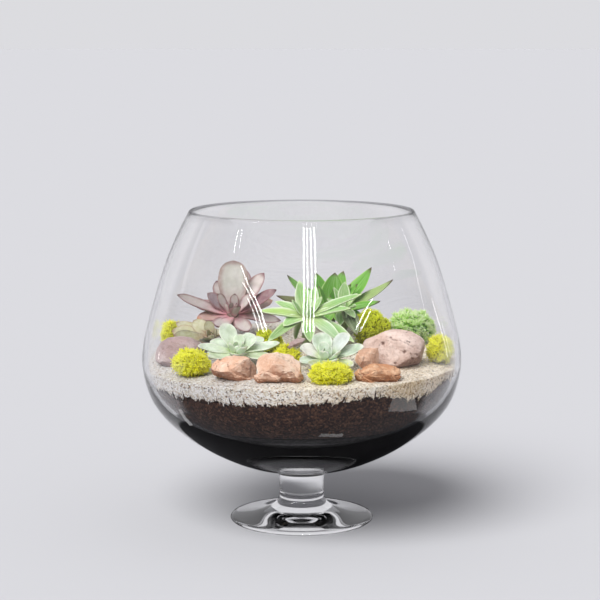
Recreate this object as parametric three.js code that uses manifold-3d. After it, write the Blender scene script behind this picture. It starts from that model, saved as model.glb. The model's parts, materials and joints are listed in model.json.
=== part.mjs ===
// A glass terrarium: a footed snifter bowl filled with charcoal, soil and sand, and planted with
// succulent rosettes among sandstones and clumps of moss.
// Millimetres, +Z up, origin at the centre of the foot's underside, front of the planting at -Y.

import * as THREE from 'three';
import { mergeVertices } from 'three/addons/utils/BufferGeometryUtils.js';
import Module from 'manifold-3d';

const wasm = await Module();
wasm.setup();

// Driving dimensions

const HEIGHT = 294.5;          // foot to rim
const BELLY_RADIUS = 150;      // widest part of the bowl, outside
const RIM_RADIUS = 105;        // mouth, outside
const FOOT_RADIUS = 67.7;
const STEM_RADIUS = 21.4;
const STEM_TOP = 38;           // sharp corner between stem and bowl
const BOWL_FLOOR = 62;         // inside of the bowl at its centre
const CLEARANCE = 0.3;         // between touching pieces
const SEGMENTS = 32;           // round the bowl and its filling

const CHARCOAL_TOP = 106;
const SAND_TOP_FRONT = 151.5;  // sand line at the glass, in front
const SAND_RISE_BACK = 14;     // how much higher the sand lies at the back
const SAND_RISE_RIGHT = 2;     // and at the right wall, against the middle
const SAND_MOUND = 4;          // in the middle of the bowl
const SAND_THICKNESS = 12.5;
const STEM_DEPTH = 9;          // how deep a plant stem stands in the sand

// Colours

const GLASS = { color: 0xe6ecec, roughness: 0.03, transparent: true, opacity: 0.25 };
const CHARCOAL = { color: 0x1d1a18, roughness: 0.95 };
const SOIL = { color: 0x3a2a21, roughness: 0.95 };
const SAND = { color: 0xd9d3c6, roughness: 0.9 };
const ORANGE_STONE = { color: 0xc58d70, roughness: 0.85 };
const PINK_STONE = { color: 0xb8968a, roughness: 0.85 };
const YELLOW_MOSS = { color: 0xc3c424, roughness: 0.95 };
const GREEN_MOSS = { color: 0x86bd62, roughness: 0.95 };

// Small tools: seeded draws, angles, and solids that can be joined and cut

const degrees = (angle) => angle * Math.PI / 180;
const GOLDEN_ANGLE = 137.5;

function seededDraws(seed) {
  let state = seed;
  return (low, high) => {
    state = (state * 1664525 + 1013904223) % 4294967296;
    return low + (high - low) * state / 4294967296;
  };
}

function geometryOf(points, faces) {
  const geometry = new THREE.BufferGeometry();
  geometry.setAttribute('position', new THREE.Float32BufferAttribute(points.flat(), 3));
  geometry.setIndex(faces.flat());
  return geometry;
}

// Shared corners merged, and no triangle that has shrunk to a line
function welded(geometry) {
  const bare = geometry.clone();
  bare.deleteAttribute('normal');
  bare.deleteAttribute('uv');
  const merged = mergeVertices(bare, 1e-4);
  const index = merged.getIndex().array;
  const kept = [];
  for (let i = 0; i < index.length; i += 3) {
    const [a, b, c] = [index[i], index[i + 1], index[i + 2]];
    if (a !== b && b !== c && c !== a) kept.push(a, b, c);
  }
  merged.setIndex(kept);
  return merged;
}

function solidOf(geometry) {
  const merged = welded(geometry);
  return new wasm.Manifold(new wasm.Mesh({
    numProp: 3,
    vertProperties: new Float32Array(merged.getAttribute('position').array),
    triVerts: new Uint32Array(merged.getIndex().array),
  }));
}

function geometryFromSolid(solid) {
  const mesh = solid.getMesh();
  const geometry = new THREE.BufferGeometry();
  geometry.setAttribute('position', new THREE.Float32BufferAttribute(mesh.vertProperties, 3));
  geometry.setIndex(Array.from(mesh.triVerts));
  return geometry;
}

function joined(solids) {
  return solids.reduce((whole, next) => whole.add(next));
}

function standingCylinder(radius, low, high, x, y, sides) {
  const geometry = new THREE.CylinderGeometry(radius, radius, high - low, sides);
  geometry.rotateX(Math.PI / 2);
  geometry.translate(x, y, (low + high) / 2);
  return geometry;
}

function named(name, geometry, finish) {
  const mesh = new THREE.Mesh(geometry, new THREE.MeshStandardMaterial(finish));
  mesh.name = name;
  geometry.computeVertexNormals();
  return mesh;
}

// The bowl's section, as radius and height

const OUTSIDE = [
  [0, 0], [FOOT_RADIUS - 1.4, 0], [FOOT_RADIUS, 1.3], [FOOT_RADIUS - 1.2, 3], [50, 5.2],
  [36, 8.4], [27, 13], [STEM_RADIUS, 19], [STEM_RADIUS - 0.8, 27], [STEM_RADIUS, STEM_TOP],
  [STEM_RADIUS + 0.4, 44], [24.8, 47.6], [32, 49.6], [45, 52.2], [56, 55.2], [67, 59.4],
  [80, 65.4], [93, 72.4], [105.5, 80.6], [117.4, 89.8], [128, 99.4], [136.6, 109.6],
  [142.8, 120.5], [146.9, 133], [149.4, 146],
  [BELLY_RADIUS, 156], [148.6, 170], [144, 190], [137.2, 214], [129, 241], [118.2, 268],
  [RIM_RADIUS + 0.6, 292.6],
];
const RIM = [[RIM_RADIUS - 1, HEIGHT - 0.3], [RIM_RADIUS - 2.6, HEIGHT], [RIM_RADIUS - 4.2, 293.4]];
const INSIDE = [
  [114, 268], [124.6, 241], [132.7, 214], [139.5, 190], [144.2, 170], [145.4, 156], [144.7, 146],
  [141.9, 134], [137.4, 122.5], [130.8, 112.6], [122, 103.6], [111.6, 95.4], [99.8, 88],
  [87.4, 81.4], [74.6, 75.6], [61.6, 70.8], [46, 66.6], [26, 63.4], [0, BOWL_FLOOR],
];

function glassBowl() {
  const profile = [...OUTSIDE, ...RIM, ...INSIDE].map(([r, z]) => new THREE.Vector2(r, z));
  const geometry = new THREE.LatheGeometry(profile, SEGMENTS);
  geometry.rotateX(Math.PI / 2);
  return welded(geometry);
}

// The filling's outline: the inside of the glass, moved inwards by the clearance, from the bottom up
const FILL_OUTLINE = INSIDE.slice().reverse().map(([r, z], i, outline) => {
  const [r0, z0] = outline[Math.max(0, i - 1)];
  const [r1, z1] = outline[Math.min(outline.length - 1, i + 1)];
  const length = Math.hypot(r1 - r0, z1 - z0);
  const offset = CLEARANCE * 1.1;
  return [i === 0 ? 0 : r - offset * (z1 - z0) / length, z + offset * (r1 - r0) / length];
});

function fillRadius(z) {
  const above = FILL_OUTLINE.findIndex(([, height]) => height >= z);
  const [r0, z0] = FILL_OUTLINE[above - 1];
  const [r1, z1] = FILL_OUTLINE[above];
  return r0 + (r1 - r0) * (z - z0) / (z1 - z0);
}

// The lie of each layer's top

const WALL_REACH = 140;        // about where the sand meets the glass
const SLOPE_FROM = -50;        // the sand starts to rise here, towards the back
const SLOPE_TO = 125;
const RIPPLE = 0.5;
const SOIL_HEAPS = [           // under the sand: thin sand over a heap, thick sand where it ran down
  { x: 60, spread: 22, height: 3.5 },
  { x: 112, spread: 25, height: -4.5 },
  { x: -45, spread: 30, height: -1.5 },
];

function ripples(x, y) {
  return RIPPLE * (Math.sin(x / 11 + 1.3) * Math.cos(y / 13) + 0.6 * Math.sin((x - 1.7 * y) / 9));
}

function sandTop(x, y) {
  const back = THREE.MathUtils.smoothstep(y, SLOPE_FROM, SLOPE_TO);
  const fromMiddle = Math.min(1, Math.hypot(x, y) / WALL_REACH);
  return SAND_TOP_FRONT + SAND_RISE_BACK * back + SAND_RISE_RIGHT * x / WALL_REACH
    + SAND_MOUND * (1 - fromMiddle ** 2) + ripples(x, y);
}

function soilTop(x, y) {
  let height = sandTop(x, y) - SAND_THICKNESS + ripples(1.9 * x + 40, 1.9 * y);
  for (const heap of SOIL_HEAPS) height += heap.height * Math.exp(-(((x - heap.x) / heap.spread) ** 2));
  return height;
}

function sandBottom(x, y) {
  return soilTop(x, y) + CLEARANCE;
}

function soilBottom() {
  return CHARCOAL_TOP + CLEARANCE;
}

// A layer of the filling: a low surface, the wall along the glass and a high surface.
// Each surface is rings of corners, so that one layer's top and the next one's foot run alike.
function layer(low, high, wallRows) {
  const corners = [];
  const rows = [];
  const addRow = (place) => {
    const row = [];
    for (let j = 0; j < SEGMENTS; j += 1) {
      const turn = 2 * Math.PI * j / SEGMENTS;
      row.push(corners.push(place(Math.sin(turn), -Math.cos(turn))) - 1);
    }
    rows.push(row);
  };
  const edgeHeight = (surface, ux, uy) => surface.at(WALL_REACH * ux, WALL_REACH * uy);
  const addSurface = (surface, shares) => {
    for (const share of shares) {
      addRow((ux, uy) => {
        const edge = edgeHeight(surface, ux, uy);
        const reach = share * fillRadius(edge);
        return [reach * ux, reach * uy, share === 1 ? edge : surface.at(reach * ux, reach * uy)];
      });
    }
  };
  const ringShares = (surface) => Array.from({ length: surface.rings }, (_, k) => (k + 1) / surface.rings);
  addSurface(low, ringShares(low));
  for (let k = 1; k <= wallRows; k += 1) {
    addRow((ux, uy) => {
      const z = THREE.MathUtils.lerp(edgeHeight(low, ux, uy), edgeHeight(high, ux, uy), k / (wallRows + 1));
      return [fillRadius(z) * ux, fillRadius(z) * uy, z];
    });
  }
  addSurface(high, ringShares(high).reverse());
  const firstHighRow = rows.length - high.rings;
  const bottom = corners.push([0, 0, low.at(0, 0)]) - 1;
  const top = corners.push([0, 0, high.at(0, 0)]) - 1;
  const faces = [];
  for (let j = 0; j < SEGMENTS; j += 1) {
    const next = (j + 1) % SEGMENTS;
    faces.push([bottom, rows[0][next], rows[0][j]], [rows.at(-1)[j], rows.at(-1)[next], top]);
    for (let k = 0; k + 1 < rows.length; k += 1) {
      const [a, b, c, d] = [rows[k][j], rows[k][next], rows[k + 1][next], rows[k + 1][j]];
      if (k < firstHighRow) faces.push([a, b, c], [a, c, d]);
      else faces.push([a, b, d], [b, c, d]);
    }
  }
  return geometryOf(corners, faces);
}

function charcoalLayer() {
  const rowsBelow = FILL_OUTLINE.filter(([, z]) => z < CHARCOAL_TOP);
  const outline = [...rowsBelow, [fillRadius(CHARCOAL_TOP), CHARCOAL_TOP], [0, CHARCOAL_TOP]];
  const geometry = new THREE.LatheGeometry(outline.map(([r, z]) => new THREE.Vector2(r, z)), SEGMENTS);
  geometry.rotateX(Math.PI / 2);
  return welded(geometry);
}

function soilLayer() {
  return layer({ at: soilBottom, rings: 1 }, { at: soilTop, rings: 4 }, 2);
}

function sandLayer(cutters) {
  let sand = solidOf(layer({ at: sandBottom, rings: 4 }, { at: sandTop, rings: 5 }, 1));
  for (const cutter of cutters) sand = sand.subtract(solidOf(cutter));
  return geometryFromSolid(sand);
}

// Stones: blocky lumps with flats broken off, pressed a little into what they lie on.
// Where each lies, its size, how deep it is sunk, how blocky it is, and the flats knocked off it
const STONES = [
  {
    name: 'stone_front_left', at: [-59, -99], size: [41, 27, 25],
    turn: 8, sunk: 4, block: 0.62, flats: 9, reach: 0.62, seed: 12,
  },
  {
    name: 'stone_front_middle', at: [-20, -110], size: [42, 28, 28],
    turn: -6, sunk: 4, block: 0.62, flats: 9, reach: 0.62, seed: 23,
  },
  {
    name: 'stone_front_right', at: [66, -104], size: [42, 25, 18],
    turn: 12, sunk: 4, block: 0.7, flats: 9, reach: 0.6, seed: 35,
  },
  {
    name: 'stone_wedge', at: [58, -77], size: [24, 13, 27],
    turn: 20, sunk: 4, block: 0.8, flats: 9, reach: 0.42, seed: 47,
  },
  {
    name: 'stone_boulder', at: [84, -46], size: [59, 46, 40],
    turn: 10, sunk: 5, block: 0.92, flats: 7, reach: 0.74, seed: 59,
  },
  {
    name: 'stone_far_left', at: [-114, -20], size: [47, 36, 31],
    turn: -14, sunk: 5, block: 0.85, flats: 8, reach: 0.7, seed: 61,
  },
  {
    name: 'stone_splinter', at: [-7, -44], size: [24, 9, 8],
    turn: 6, height: 175, block: 0.8, flats: 6, reach: 0.6, seed: 73, rise: 20,
  },
];
const SMOOTHEST_CUT = 0.9;
const POCKET_SWELL = 0.45;     // how far a stone's bed stands off its faceted surface

// The middle of a lump of this height, sunk so deep into the sand below it
function restingHeight(lump) {
  const [x, y] = lump.at;
  return lump.height ?? sandTop(x, y) - lump.sunk + lump.size[2] / 2;
}

function stoneGeometry(stone, swell) {
  const draw = seededDraws(stone.seed);
  const fineness = Math.min(3, Math.ceil(stone.size[0] / 25));
  const lump = welded(new THREE.IcosahedronGeometry(1, fineness));
  const corners = lump.getAttribute('position');
  const point = new THREE.Vector3();
  const squared = (value) => Math.sign(value) * Math.abs(value) ** stone.block;
  for (let i = 0; i < corners.count; i += 1) {
    corners.setXYZ(i, squared(corners.getX(i)), squared(corners.getY(i)), squared(corners.getZ(i)));
  }
  for (let k = 0; k < stone.flats; k += 1) {
    const flat = new THREE.Vector3(draw(-1, 1), draw(-1, 1), draw(-0.7, 1)).normalize();
    const reach = draw(stone.reach, SMOOTHEST_CUT);
    for (let i = 0; i < corners.count; i += 1) {
      point.fromBufferAttribute(corners, i);
      point.addScaledVector(flat, -Math.max(0, point.dot(flat) - reach));
      corners.setXYZ(i, point.x, point.y, point.z);
    }
  }
  lump.computeBoundingBox();
  const span = lump.boundingBox.getSize(new THREE.Vector3());
  const middle = lump.boundingBox.getCenter(new THREE.Vector3());
  lump.translate(-middle.x, -middle.y, -middle.z);
  lump.scale(...stone.size.map((size, axis) => (size + 2 * swell) / span.getComponent(axis)));
  lump.rotateY(degrees(-(stone.rise ?? 0)));
  lump.rotateZ(degrees(stone.turn));
  lump.translate(...stone.at, restingHeight(stone));
  return lump;
}

// Moss: clumps whose whole surface is short pointed tufts

const MOSS = [
  { name: 'moss_back_left', at: [-126, 34], size: [24, 26, 33], sunk: 3, finish: YELLOW_MOSS, seed: 5 },
  { name: 'moss_front_left', at: [-99, -72], size: [38, 34, 29], sunk: 4, finish: YELLOW_MOSS, seed: 7 },
  { name: 'moss_middle', at: [-31, 8], size: [30, 22, 26], sunk: 4, finish: YELLOW_MOSS, seed: 9 },
  { name: 'moss_behind_stones', at: [-14, -46], size: [30, 20, 24], sunk: 5, finish: YELLOW_MOSS, seed: 13 },
  { name: 'moss_front', at: [25, -118], size: [44, 32, 22], sunk: 4, finish: YELLOW_MOSS, seed: 17 },
  { name: 'moss_behind_boulder', at: [66, 28], size: [38, 28, 39], sunk: 3, finish: YELLOW_MOSS, seed: 19 },
  { name: 'moss_right', at: [127, -30], size: [24, 34, 32], sunk: 4, finish: YELLOW_MOSS, seed: 29 },
  { name: 'moss_green', at: [107, 42], size: [53, 42, 37], sunk: 4, finish: GREEN_MOSS, seed: 31 },
];
const TUFT_SHARE = 0.4;        // share of the corners that stand out as tufts
const TUFT_HEIGHT = 0.19;      // and by how much, as a share of the clump's radius

// The hollow that a clump has pressed into the sand, a coarse shape just outside its tufts
function mossPocket(clump) {
  const coarse = new THREE.IcosahedronGeometry(1.08, 1);
  coarse.scale(...clump.size.map((size) => size / 2 + CLEARANCE));
  coarse.translate(...clump.at, restingHeight(clump));
  return coarse;
}

function mossGeometry(clump) {
  const draw = seededDraws(clump.seed);
  const tufted = welded(new THREE.IcosahedronGeometry(1, 3));
  const corners = tufted.getAttribute('position');
  for (let i = 0; i < corners.count; i += 1) {
    const standsOut = draw(0, 1) < TUFT_SHARE;
    const reach = standsOut ? 1 : 1 - TUFT_HEIGHT * draw(0.7, 1.3);
    corners.setXYZ(i, corners.getX(i) * reach, corners.getY(i) * reach, corners.getZ(i) * reach);
  }
  tufted.scale(...clump.size.map((size) => size / 2));
  tufted.translate(...clump.at, restingHeight(clump));
  return tufted;
}

// A clump with the bed of the stone that leans on it pressed in
function mossUnder(clump, stone) {
  const bed = solidOf(stoneGeometry(stone, POCKET_SWELL));
  return geometryFromSolid(solidOf(mossGeometry(clump)).subtract(bed));
}

// Leaf forms: share of the length, share of the width, for each section behind the tip
const LEAF_FORMS = {
  spoon: { sections: [[0, 0.42], [0.3, 0.74], [0.62, 1], [0.86, 0.72]], cup: 0.12, thickness: 3.4 },
  lance: { sections: [[0, 0.5], [0.25, 0.84], [0.5, 1], [0.8, 0.58]], cup: 0.16, thickness: 3 },
  paddle: {
    sections: [[0, 0.36], [0.28, 0.74], [0.58, 1], [0.84, 0.86], [0.96, 0.5]], cup: 0.08, thickness: 3,
  },
};
const LEAF_FOOT = 3;           // how far from the axis a leaf starts

// A leaf lists its tip from the heart in x, y and z, its width, its bend in degrees and its form
const ROSETTES = [
  {
    name: 'rosette_purple', heart: [-67, 48, 189], lean: [0, -0.55, 1], form: 'spoon', core: 7,
    finish: { color: 0x8f6f74, roughness: 0.6 },
    leaves: [
      [1, 14, 48, 30, -6, 'paddle'], [-18, 24, 28, 18, 0], [-25, 4, 19, 17, 12],
      [-54, -12, 20, 16, 16], [-34, -16, -2, 17, 14], [31, 16, 36, 19, 4], [43, 2, 22, 16, 10],
      [39, 22, 9, 17, 10], [47, 8, -8, 16, 10], [16, -24, -14, 17, 20], [-14, -30, -8, 18, 24],
      [12, 30, 38, 22, 0], [-40, 22, 8, 17, 8], [10, 42, 10, 18, 10],
    ],
    inner: { count: 6, first: 20, tilt: [42, 74], length: [27, 14], width: [14, 7] },
  },
  {
    name: 'rosette_olive', heart: [-85, 8, 172], lean: [-0.2, -0.9, 1], form: 'spoon', core: 5,
    finish: { color: 0x8e8a68, roughness: 0.6 },
    leaves: [
      [-39, 8, 6, 18, 6], [-36, -9, 4, 14, 6], [-36, 20, 12, 13, 8], [-18, 14, 15, 15, 6],
      [8, 12, 5, 12, 6], [-8, -14, -2, 13, 14],
    ],
    inner: { count: 4, first: 100, tilt: [44, 72], length: [17, 10], width: [10, 6] },
  },
  {
    name: 'rosette_mint_left', heart: [-59, -42, 167], lean: [0, -0.35, 1], form: 'spoon', core: 6,
    finish: { color: 0xb9d0bb, roughness: 0.55 },
    leaves: [
      [-13, 10, 25, 18, -4], [16, 6, 15, 20, 0], [2, 16, 14, 18, 0], [-36, -2, 6, 15, 8],
      [-26, -16, -2, 18, 10], [39, 2, 8, 14, 8], [31, -14, -3, 15, 10], [2, -24, 2, 17, 20],
      [22, 24, 10, 16, 8], [-24, 22, 8, 16, 8],
    ],
    inner: { count: 5, first: -60, tilt: [40, 74], length: [19, 10], width: [12, 7] },
  },
  {
    name: 'rosette_mint_right', heart: [22, -65, 165], lean: [0, -0.35, 1], form: 'spoon', core: 6,
    finish: { color: 0xb4cbb6, roughness: 0.55 },
    leaves: [
      [-5, 12, 22, 19, -4], [20, 8, 22, 17, -2], [-23, 2, 11, 19, 4], [34, 2, 11, 18, 4],
      [-24, -10, -1, 16, 8], [24, -15, -4, 14, 10], [-14, -20, -3, 15, 12], [6, -22, 2, 15, 18],
      [10, 28, 10, 16, 8], [-22, 22, 8, 16, 8],
    ],
    inner: { count: 5, first: -30, tilt: [40, 76], length: [18, 10], width: [12, 7] },
  },
  {
    name: 'rosette_green', heart: [4, 10, 192], lean: [0, -0.4, 1], form: 'lance', core: 6,
    finish: { color: 0x8fb57c, roughness: 0.65 },
    leaves: [
      [-44, -6, 6, 15, -8], [-7, 12, 32, 15, 0], [10, 20, 25, 14, 0], [53, 0, 21, 13, -10],
      [42, -12, 9, 13, -14], [34, -30, -22, 15, -30], [-21, -16, -7, 16, -24],
      [-36, -26, -20, 14, -16], [-30, 26, 10, 14, -10], [6, 36, 4, 14, -14],
      [46, -18, -22, 15, -20], [4, -28, -20, 13, -24], [-10, 14, -24, 13, -20], [30, 24, -14, 14, -20],
    ],
    inner: { count: 5, first: 30, tilt: [42, 76], length: [24, 12], width: [10, 6] },
  },
  {
    name: 'rosette_green_offset', heart: [40, 32, 197], lean: [0, -0.3, 1], form: 'lance', core: 4,
    finish: { color: 0x9fc08a, roughness: 0.65 },
    leaves: [
      [1, 4, 24, 12, 0], [-9, 2, 19, 8, 0], [13, -2, 14, 9, 0], [-16, 0, 8, 9, 0], [12, -10, 3, 9, -6],
      [-8, -12, 2, 9, -6], [2, 14, 12, 9, 0], [12, -32, -21, 15, -24], [10, -26, -6, 9, -10],
      [-4, -24, -14, 11, -20], [-14, 10, -8, 10, -12],
    ],
    inner: { count: 3, first: 60, tilt: [50, 74], length: [13, 9], width: [7, 5] },
  },
  {
    name: 'rosette_bright', heart: [29, 74, 188], lean: [0.1, -0.45, 1], form: 'lance', core: 7,
    finish: { color: 0x6f9f4f, roughness: 0.6 },
    leaves: [
      [-43, 2, 34, 14, 36], [-16, 8, 35, 18, 16], [3, 2, 36, 24, 0], [13, 12, 36, 18, 6],
      [26, -4, 26, 12, 16], [40, 4, 41, 20, 46], [61, -4, 31, 14, 34], [-54, 2, 14, 15, 14],
      [44, 24, 14, 15, 6], [8, 36, 18, 16, 6], [-26, 30, 18, 15, 6], [30, -16, -2, 15, 6],
      [-22, -14, 4, 14, 10], [48, -18, 12, 14, 14],
      [-8, -24, -10, 13, -10], [16, -24, -14, 13, -12], [-26, -18, -16, 14, -14],
    ],
    inner: { count: 5, first: 30, tilt: [52, 80], length: [32, 18], width: [12, 7] },
  },
];

// Unit vectors of a rosette: along its axis, and two across it
function rosetteAxes(rosette) {
  const axis = new THREE.Vector3(...rosette.lean).normalize();
  const right = new THREE.Vector3(1, 0, 0).addScaledVector(axis, -axis.x).normalize();
  return { axis, right, back: axis.clone().cross(right) };
}

function innerLeaves(rosette) {
  const { count, first, tilt, length, width } = rosette.inner;
  const { axis, right, back } = rosetteAxes(rosette);
  return Array.from({ length: count }, (_, k) => {
    const share = k / (count - 1);
    const turn = degrees(first + GOLDEN_ANGLE * k);
    const rise = degrees(THREE.MathUtils.lerp(...tilt, share));
    const reach = THREE.MathUtils.lerp(...length, share);
    const tip = right.clone().multiplyScalar(Math.cos(turn)).addScaledVector(back, Math.sin(turn));
    tip.multiplyScalar(Math.cos(rise)).addScaledVector(axis, Math.sin(rise)).multiplyScalar(reach);
    return [...tip.toArray(), THREE.MathUtils.lerp(...width, share), 10];
  });
}

// A leaf is a row of three-cornered sections along an arc, flat above and keeled below, closed by its tip
function leafGeometry(leaf, rosette) {
  const [dx, dy, dz, width, bendAngle, form = rosette.form] = leaf;
  const { sections, cup, thickness } = LEAF_FORMS[form];
  const { axis } = rosetteAxes(rosette);
  const heart = new THREE.Vector3(...rosette.heart);
  const tip = new THREE.Vector3(dx, dy, dz);
  const out = tip.clone().addScaledVector(axis, -tip.dot(axis)).normalize();
  const across = tip.dot(out) - LEAF_FOOT;
  const rise = tip.dot(axis);
  const bend = degrees(bendAngle || 0.1);
  const start = Math.atan2(rise, across) - bend / 2;
  const radius = Math.hypot(across, rise) / (2 * Math.sin(bend / 2));
  const side = axis.clone().cross(out);
  const scale = Math.min(1, width / 12);
  const corners = [];
  const place = (share, sideways, upwards) => {
    const angle = start + bend * share;
    const along = LEAF_FOOT + radius * (Math.sin(angle) - Math.sin(start)) - upwards * Math.sin(angle);
    const above = radius * (Math.cos(start) - Math.cos(angle)) + upwards * Math.cos(angle);
    const corner = heart.clone().addScaledVector(out, along).addScaledVector(axis, above);
    return corner.addScaledVector(side, sideways).toArray();
  };
  for (const [share, breadth] of sections) {
    const half = width * breadth / 2;
    const thick = thickness * scale * (1 - 0.35 * share);
    corners.push(place(share, -half, cup * half), place(share, 0, -thick), place(share, half, cup * half));
  }
  corners.push(place(1, 0, 0));
  const faces = [[2, 1, 0]];
  for (let row = 0; row + 1 < sections.length; row += 1) {
    for (let k = 0; k < 3; k += 1) {
      const [a, b] = [3 * row + k, 3 * row + (k + 1) % 3];
      faces.push([a, b, b + 3], [a, b + 3, a + 3]);
    }
  }
  const last = 3 * (sections.length - 1);
  for (let k = 0; k < 3; k += 1) faces.push([last + k, last + (k + 1) % 3, corners.length - 1]);
  return geometryOf(corners, faces);
}

const PLANT_STEM_RADIUS = 4;

function plantStem(rosette, swell) {
  const [x, y, z] = rosette.heart;
  const foot = sandTop(x, y) - STEM_DEPTH - swell;
  return standingCylinder(PLANT_STEM_RADIUS + swell, foot, z - 1, x, y, 8);
}

function rosetteGeometry(rosette) {
  const heart = new THREE.IcosahedronGeometry(rosette.core, 1);
  heart.translate(rosette.heart[0], rosette.heart[1], rosette.heart[2] - rosette.core / 3);
  const leaves = [...rosette.leaves, ...innerLeaves(rosette)];
  const pieces = [plantStem(rosette, 0), heart, ...leaves.map((leaf) => leafGeometry(leaf, rosette))];
  return geometryFromSolid(joined(pieces.map(solidOf)));
}

// The whole terrarium

function terrarium() {
  const cutters = [
    ...STONES.map((stone) => stoneGeometry(stone, POCKET_SWELL)),
    ...MOSS.map(mossPocket),
    ...ROSETTES.map((rosette) => plantStem(rosette, CLEARANCE + 0.05)),
  ];
  const whole = new THREE.Group();
  whole.add(named('glass_bowl', glassBowl(), GLASS));
  whole.add(named('charcoal_layer', charcoalLayer(), CHARCOAL));
  whole.add(named('soil_layer', soilLayer(), SOIL));
  whole.add(named('sand_layer', sandLayer(cutters), SAND));
  for (const stone of STONES) {
    const pink = stone.name === 'stone_boulder' || stone.name === 'stone_far_left';
    whole.add(named(stone.name, stoneGeometry(stone, 0), pink ? PINK_STONE : ORANGE_STONE));
  }
  const splinter = STONES.find((stone) => stone.name === 'stone_splinter');
  for (const clump of MOSS) {
    const geometry = clump.name === 'moss_behind_stones' ? mossUnder(clump, splinter) : mossGeometry(clump);
    whole.add(named(clump.name, geometry, clump.finish));
  }
  for (const rosette of ROSETTES) whole.add(named(rosette.name, rosetteGeometry(rosette), rosette.finish));
  return whole;
}

export default terrarium();
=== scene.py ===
"""The looks of a planted glass bowl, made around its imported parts.

Metres, +Z up, the front of the planting at -Y. The section of the glass, the lie of the sand and the
leaves repeat the part's own sizes in millimetres, and everything else is placed by the frame.
"""

import json
import math

import bmesh
import bpy
import numpy as np
from mathutils import Matrix, Vector, noise

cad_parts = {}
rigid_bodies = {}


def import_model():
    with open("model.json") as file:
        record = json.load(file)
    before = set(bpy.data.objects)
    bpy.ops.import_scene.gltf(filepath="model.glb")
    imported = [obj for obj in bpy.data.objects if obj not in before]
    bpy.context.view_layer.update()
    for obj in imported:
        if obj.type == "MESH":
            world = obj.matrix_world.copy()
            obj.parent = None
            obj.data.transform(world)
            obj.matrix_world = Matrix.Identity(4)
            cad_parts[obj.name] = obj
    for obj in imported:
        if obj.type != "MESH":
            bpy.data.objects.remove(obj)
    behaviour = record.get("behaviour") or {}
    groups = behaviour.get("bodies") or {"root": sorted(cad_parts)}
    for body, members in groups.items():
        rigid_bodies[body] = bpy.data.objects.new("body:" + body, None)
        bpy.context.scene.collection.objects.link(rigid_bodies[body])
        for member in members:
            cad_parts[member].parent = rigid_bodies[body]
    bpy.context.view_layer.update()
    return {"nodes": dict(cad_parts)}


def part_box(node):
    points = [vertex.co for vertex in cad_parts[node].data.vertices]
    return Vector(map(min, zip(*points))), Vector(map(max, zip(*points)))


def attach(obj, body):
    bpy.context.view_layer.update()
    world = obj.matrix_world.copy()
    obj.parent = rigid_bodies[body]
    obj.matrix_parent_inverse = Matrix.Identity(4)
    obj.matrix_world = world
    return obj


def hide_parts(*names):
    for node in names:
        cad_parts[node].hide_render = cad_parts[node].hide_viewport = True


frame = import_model()

MM = 0.001
GOLDEN_ANGLE = 137.5

# Sizes of the glass, in millimetres

HEIGHT = 294.5
BELLY_RADIUS = 150
RIM_RADIUS = 105
FOOT_RADIUS = 67.7
STEM_RADIUS = 21.4
STEM_TOP = 38
BOWL_FLOOR = 62
CLEARANCE = 0.33               # between the glass and its filling
BASE_RIPPLE = 0.2              # fine waves in the thick base of the bowl
LIP_FROM = 2.4                 # the lip is painted pale, by turning see-through, from this far below the top
LIP_FULL = 1.0
LIP_SHARE = 0.66
GLASS_SEGMENTS = 224

# The lie of the filling, in millimetres

CHARCOAL_TOP = 106
SAND_TOP_FRONT = 151.5
SAND_RISE_BACK = 14
SAND_RISE_RIGHT = 2
SAND_MOUND = 4
SAND_THICKNESS = 12.5
WALL_REACH = 140
SLOPE_FROM = -50
SLOPE_TO = 125
RIPPLE = 0.5
SOIL_HEAPS = [(60, 22, 3.5), (112, 25, -4.5), (-45, 30, -1.5)]   # place across, spread and height
STEM_DEPTH = 9
CHARCOAL_ROWS, CHARCOAL_SEGMENTS = 80, 320
SOIL_ROWS, SOIL_SEGMENTS = 40, 400
SAND_WALL_ROWS, SAND_RINGS, SAND_SEGMENTS = 16, 84, 480
SLIVER_ROWS = 6


# Small tools

def rgb(red, green, blue):
    """A colour as seen, 0 to 255, made linear."""
    return tuple((c / 255 / 12.92 if c <= 10 else ((c / 255 + 0.055) / 1.055) ** 2.4)
                 for c in (red, green, blue)) + (1.0,)


def seeded_draws(seed):
    """Random numbers that come out the same every time."""
    state = [seed]

    def draw(low=0.0, high=1.0):
        state[0] = (state[0] * 1664525 + 1013904223) % 4294967296
        return low + (high - low) * state[0] / 4294967296
    return draw


def smoothstep(value, low, high):
    """0 below low, 1 above high and smooth between them."""
    share = np.clip((np.asarray(value, float) - low) / (high - low), 0, 1)
    return share * share * (3 - 2 * share)


def smooth_run(points, steps):
    """A centripetal Catmull-Rom curve through the points, which doesn't overshoot."""
    points = [np.array(p, float) for p in points]
    ends = [2 * points[0] - points[1]] + points + [2 * points[-1] - points[-2]]
    run = []
    for a, b, c, d in zip(ends, ends[1:], ends[2:], ends[3:]):
        tb = np.linalg.norm(b - a) ** 0.5
        tc = tb + np.linalg.norm(c - b) ** 0.5
        td = tc + np.linalg.norm(d - c) ** 0.5
        for k in range(steps):
            t = tb + (tc - tb) * k / steps
            ab = (tb - t) / tb * a + t / tb * b
            bc = (tc - t) / (tc - tb) * b + (t - tb) / (tc - tb) * c
            cd = (td - t) / (td - tc) * c + (t - tc) / (td - tc) * d
            abc = (tc - t) / tc * ab + t / tc * bc
            bcd = (td - t) / (td - tb) * bc + (t - tb) / (td - tb) * cd
            run.append((tc - t) / (tc - tb) * abc + (t - tb) / (tc - tb) * bcd)
    return np.array(run + [points[-1]])


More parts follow.
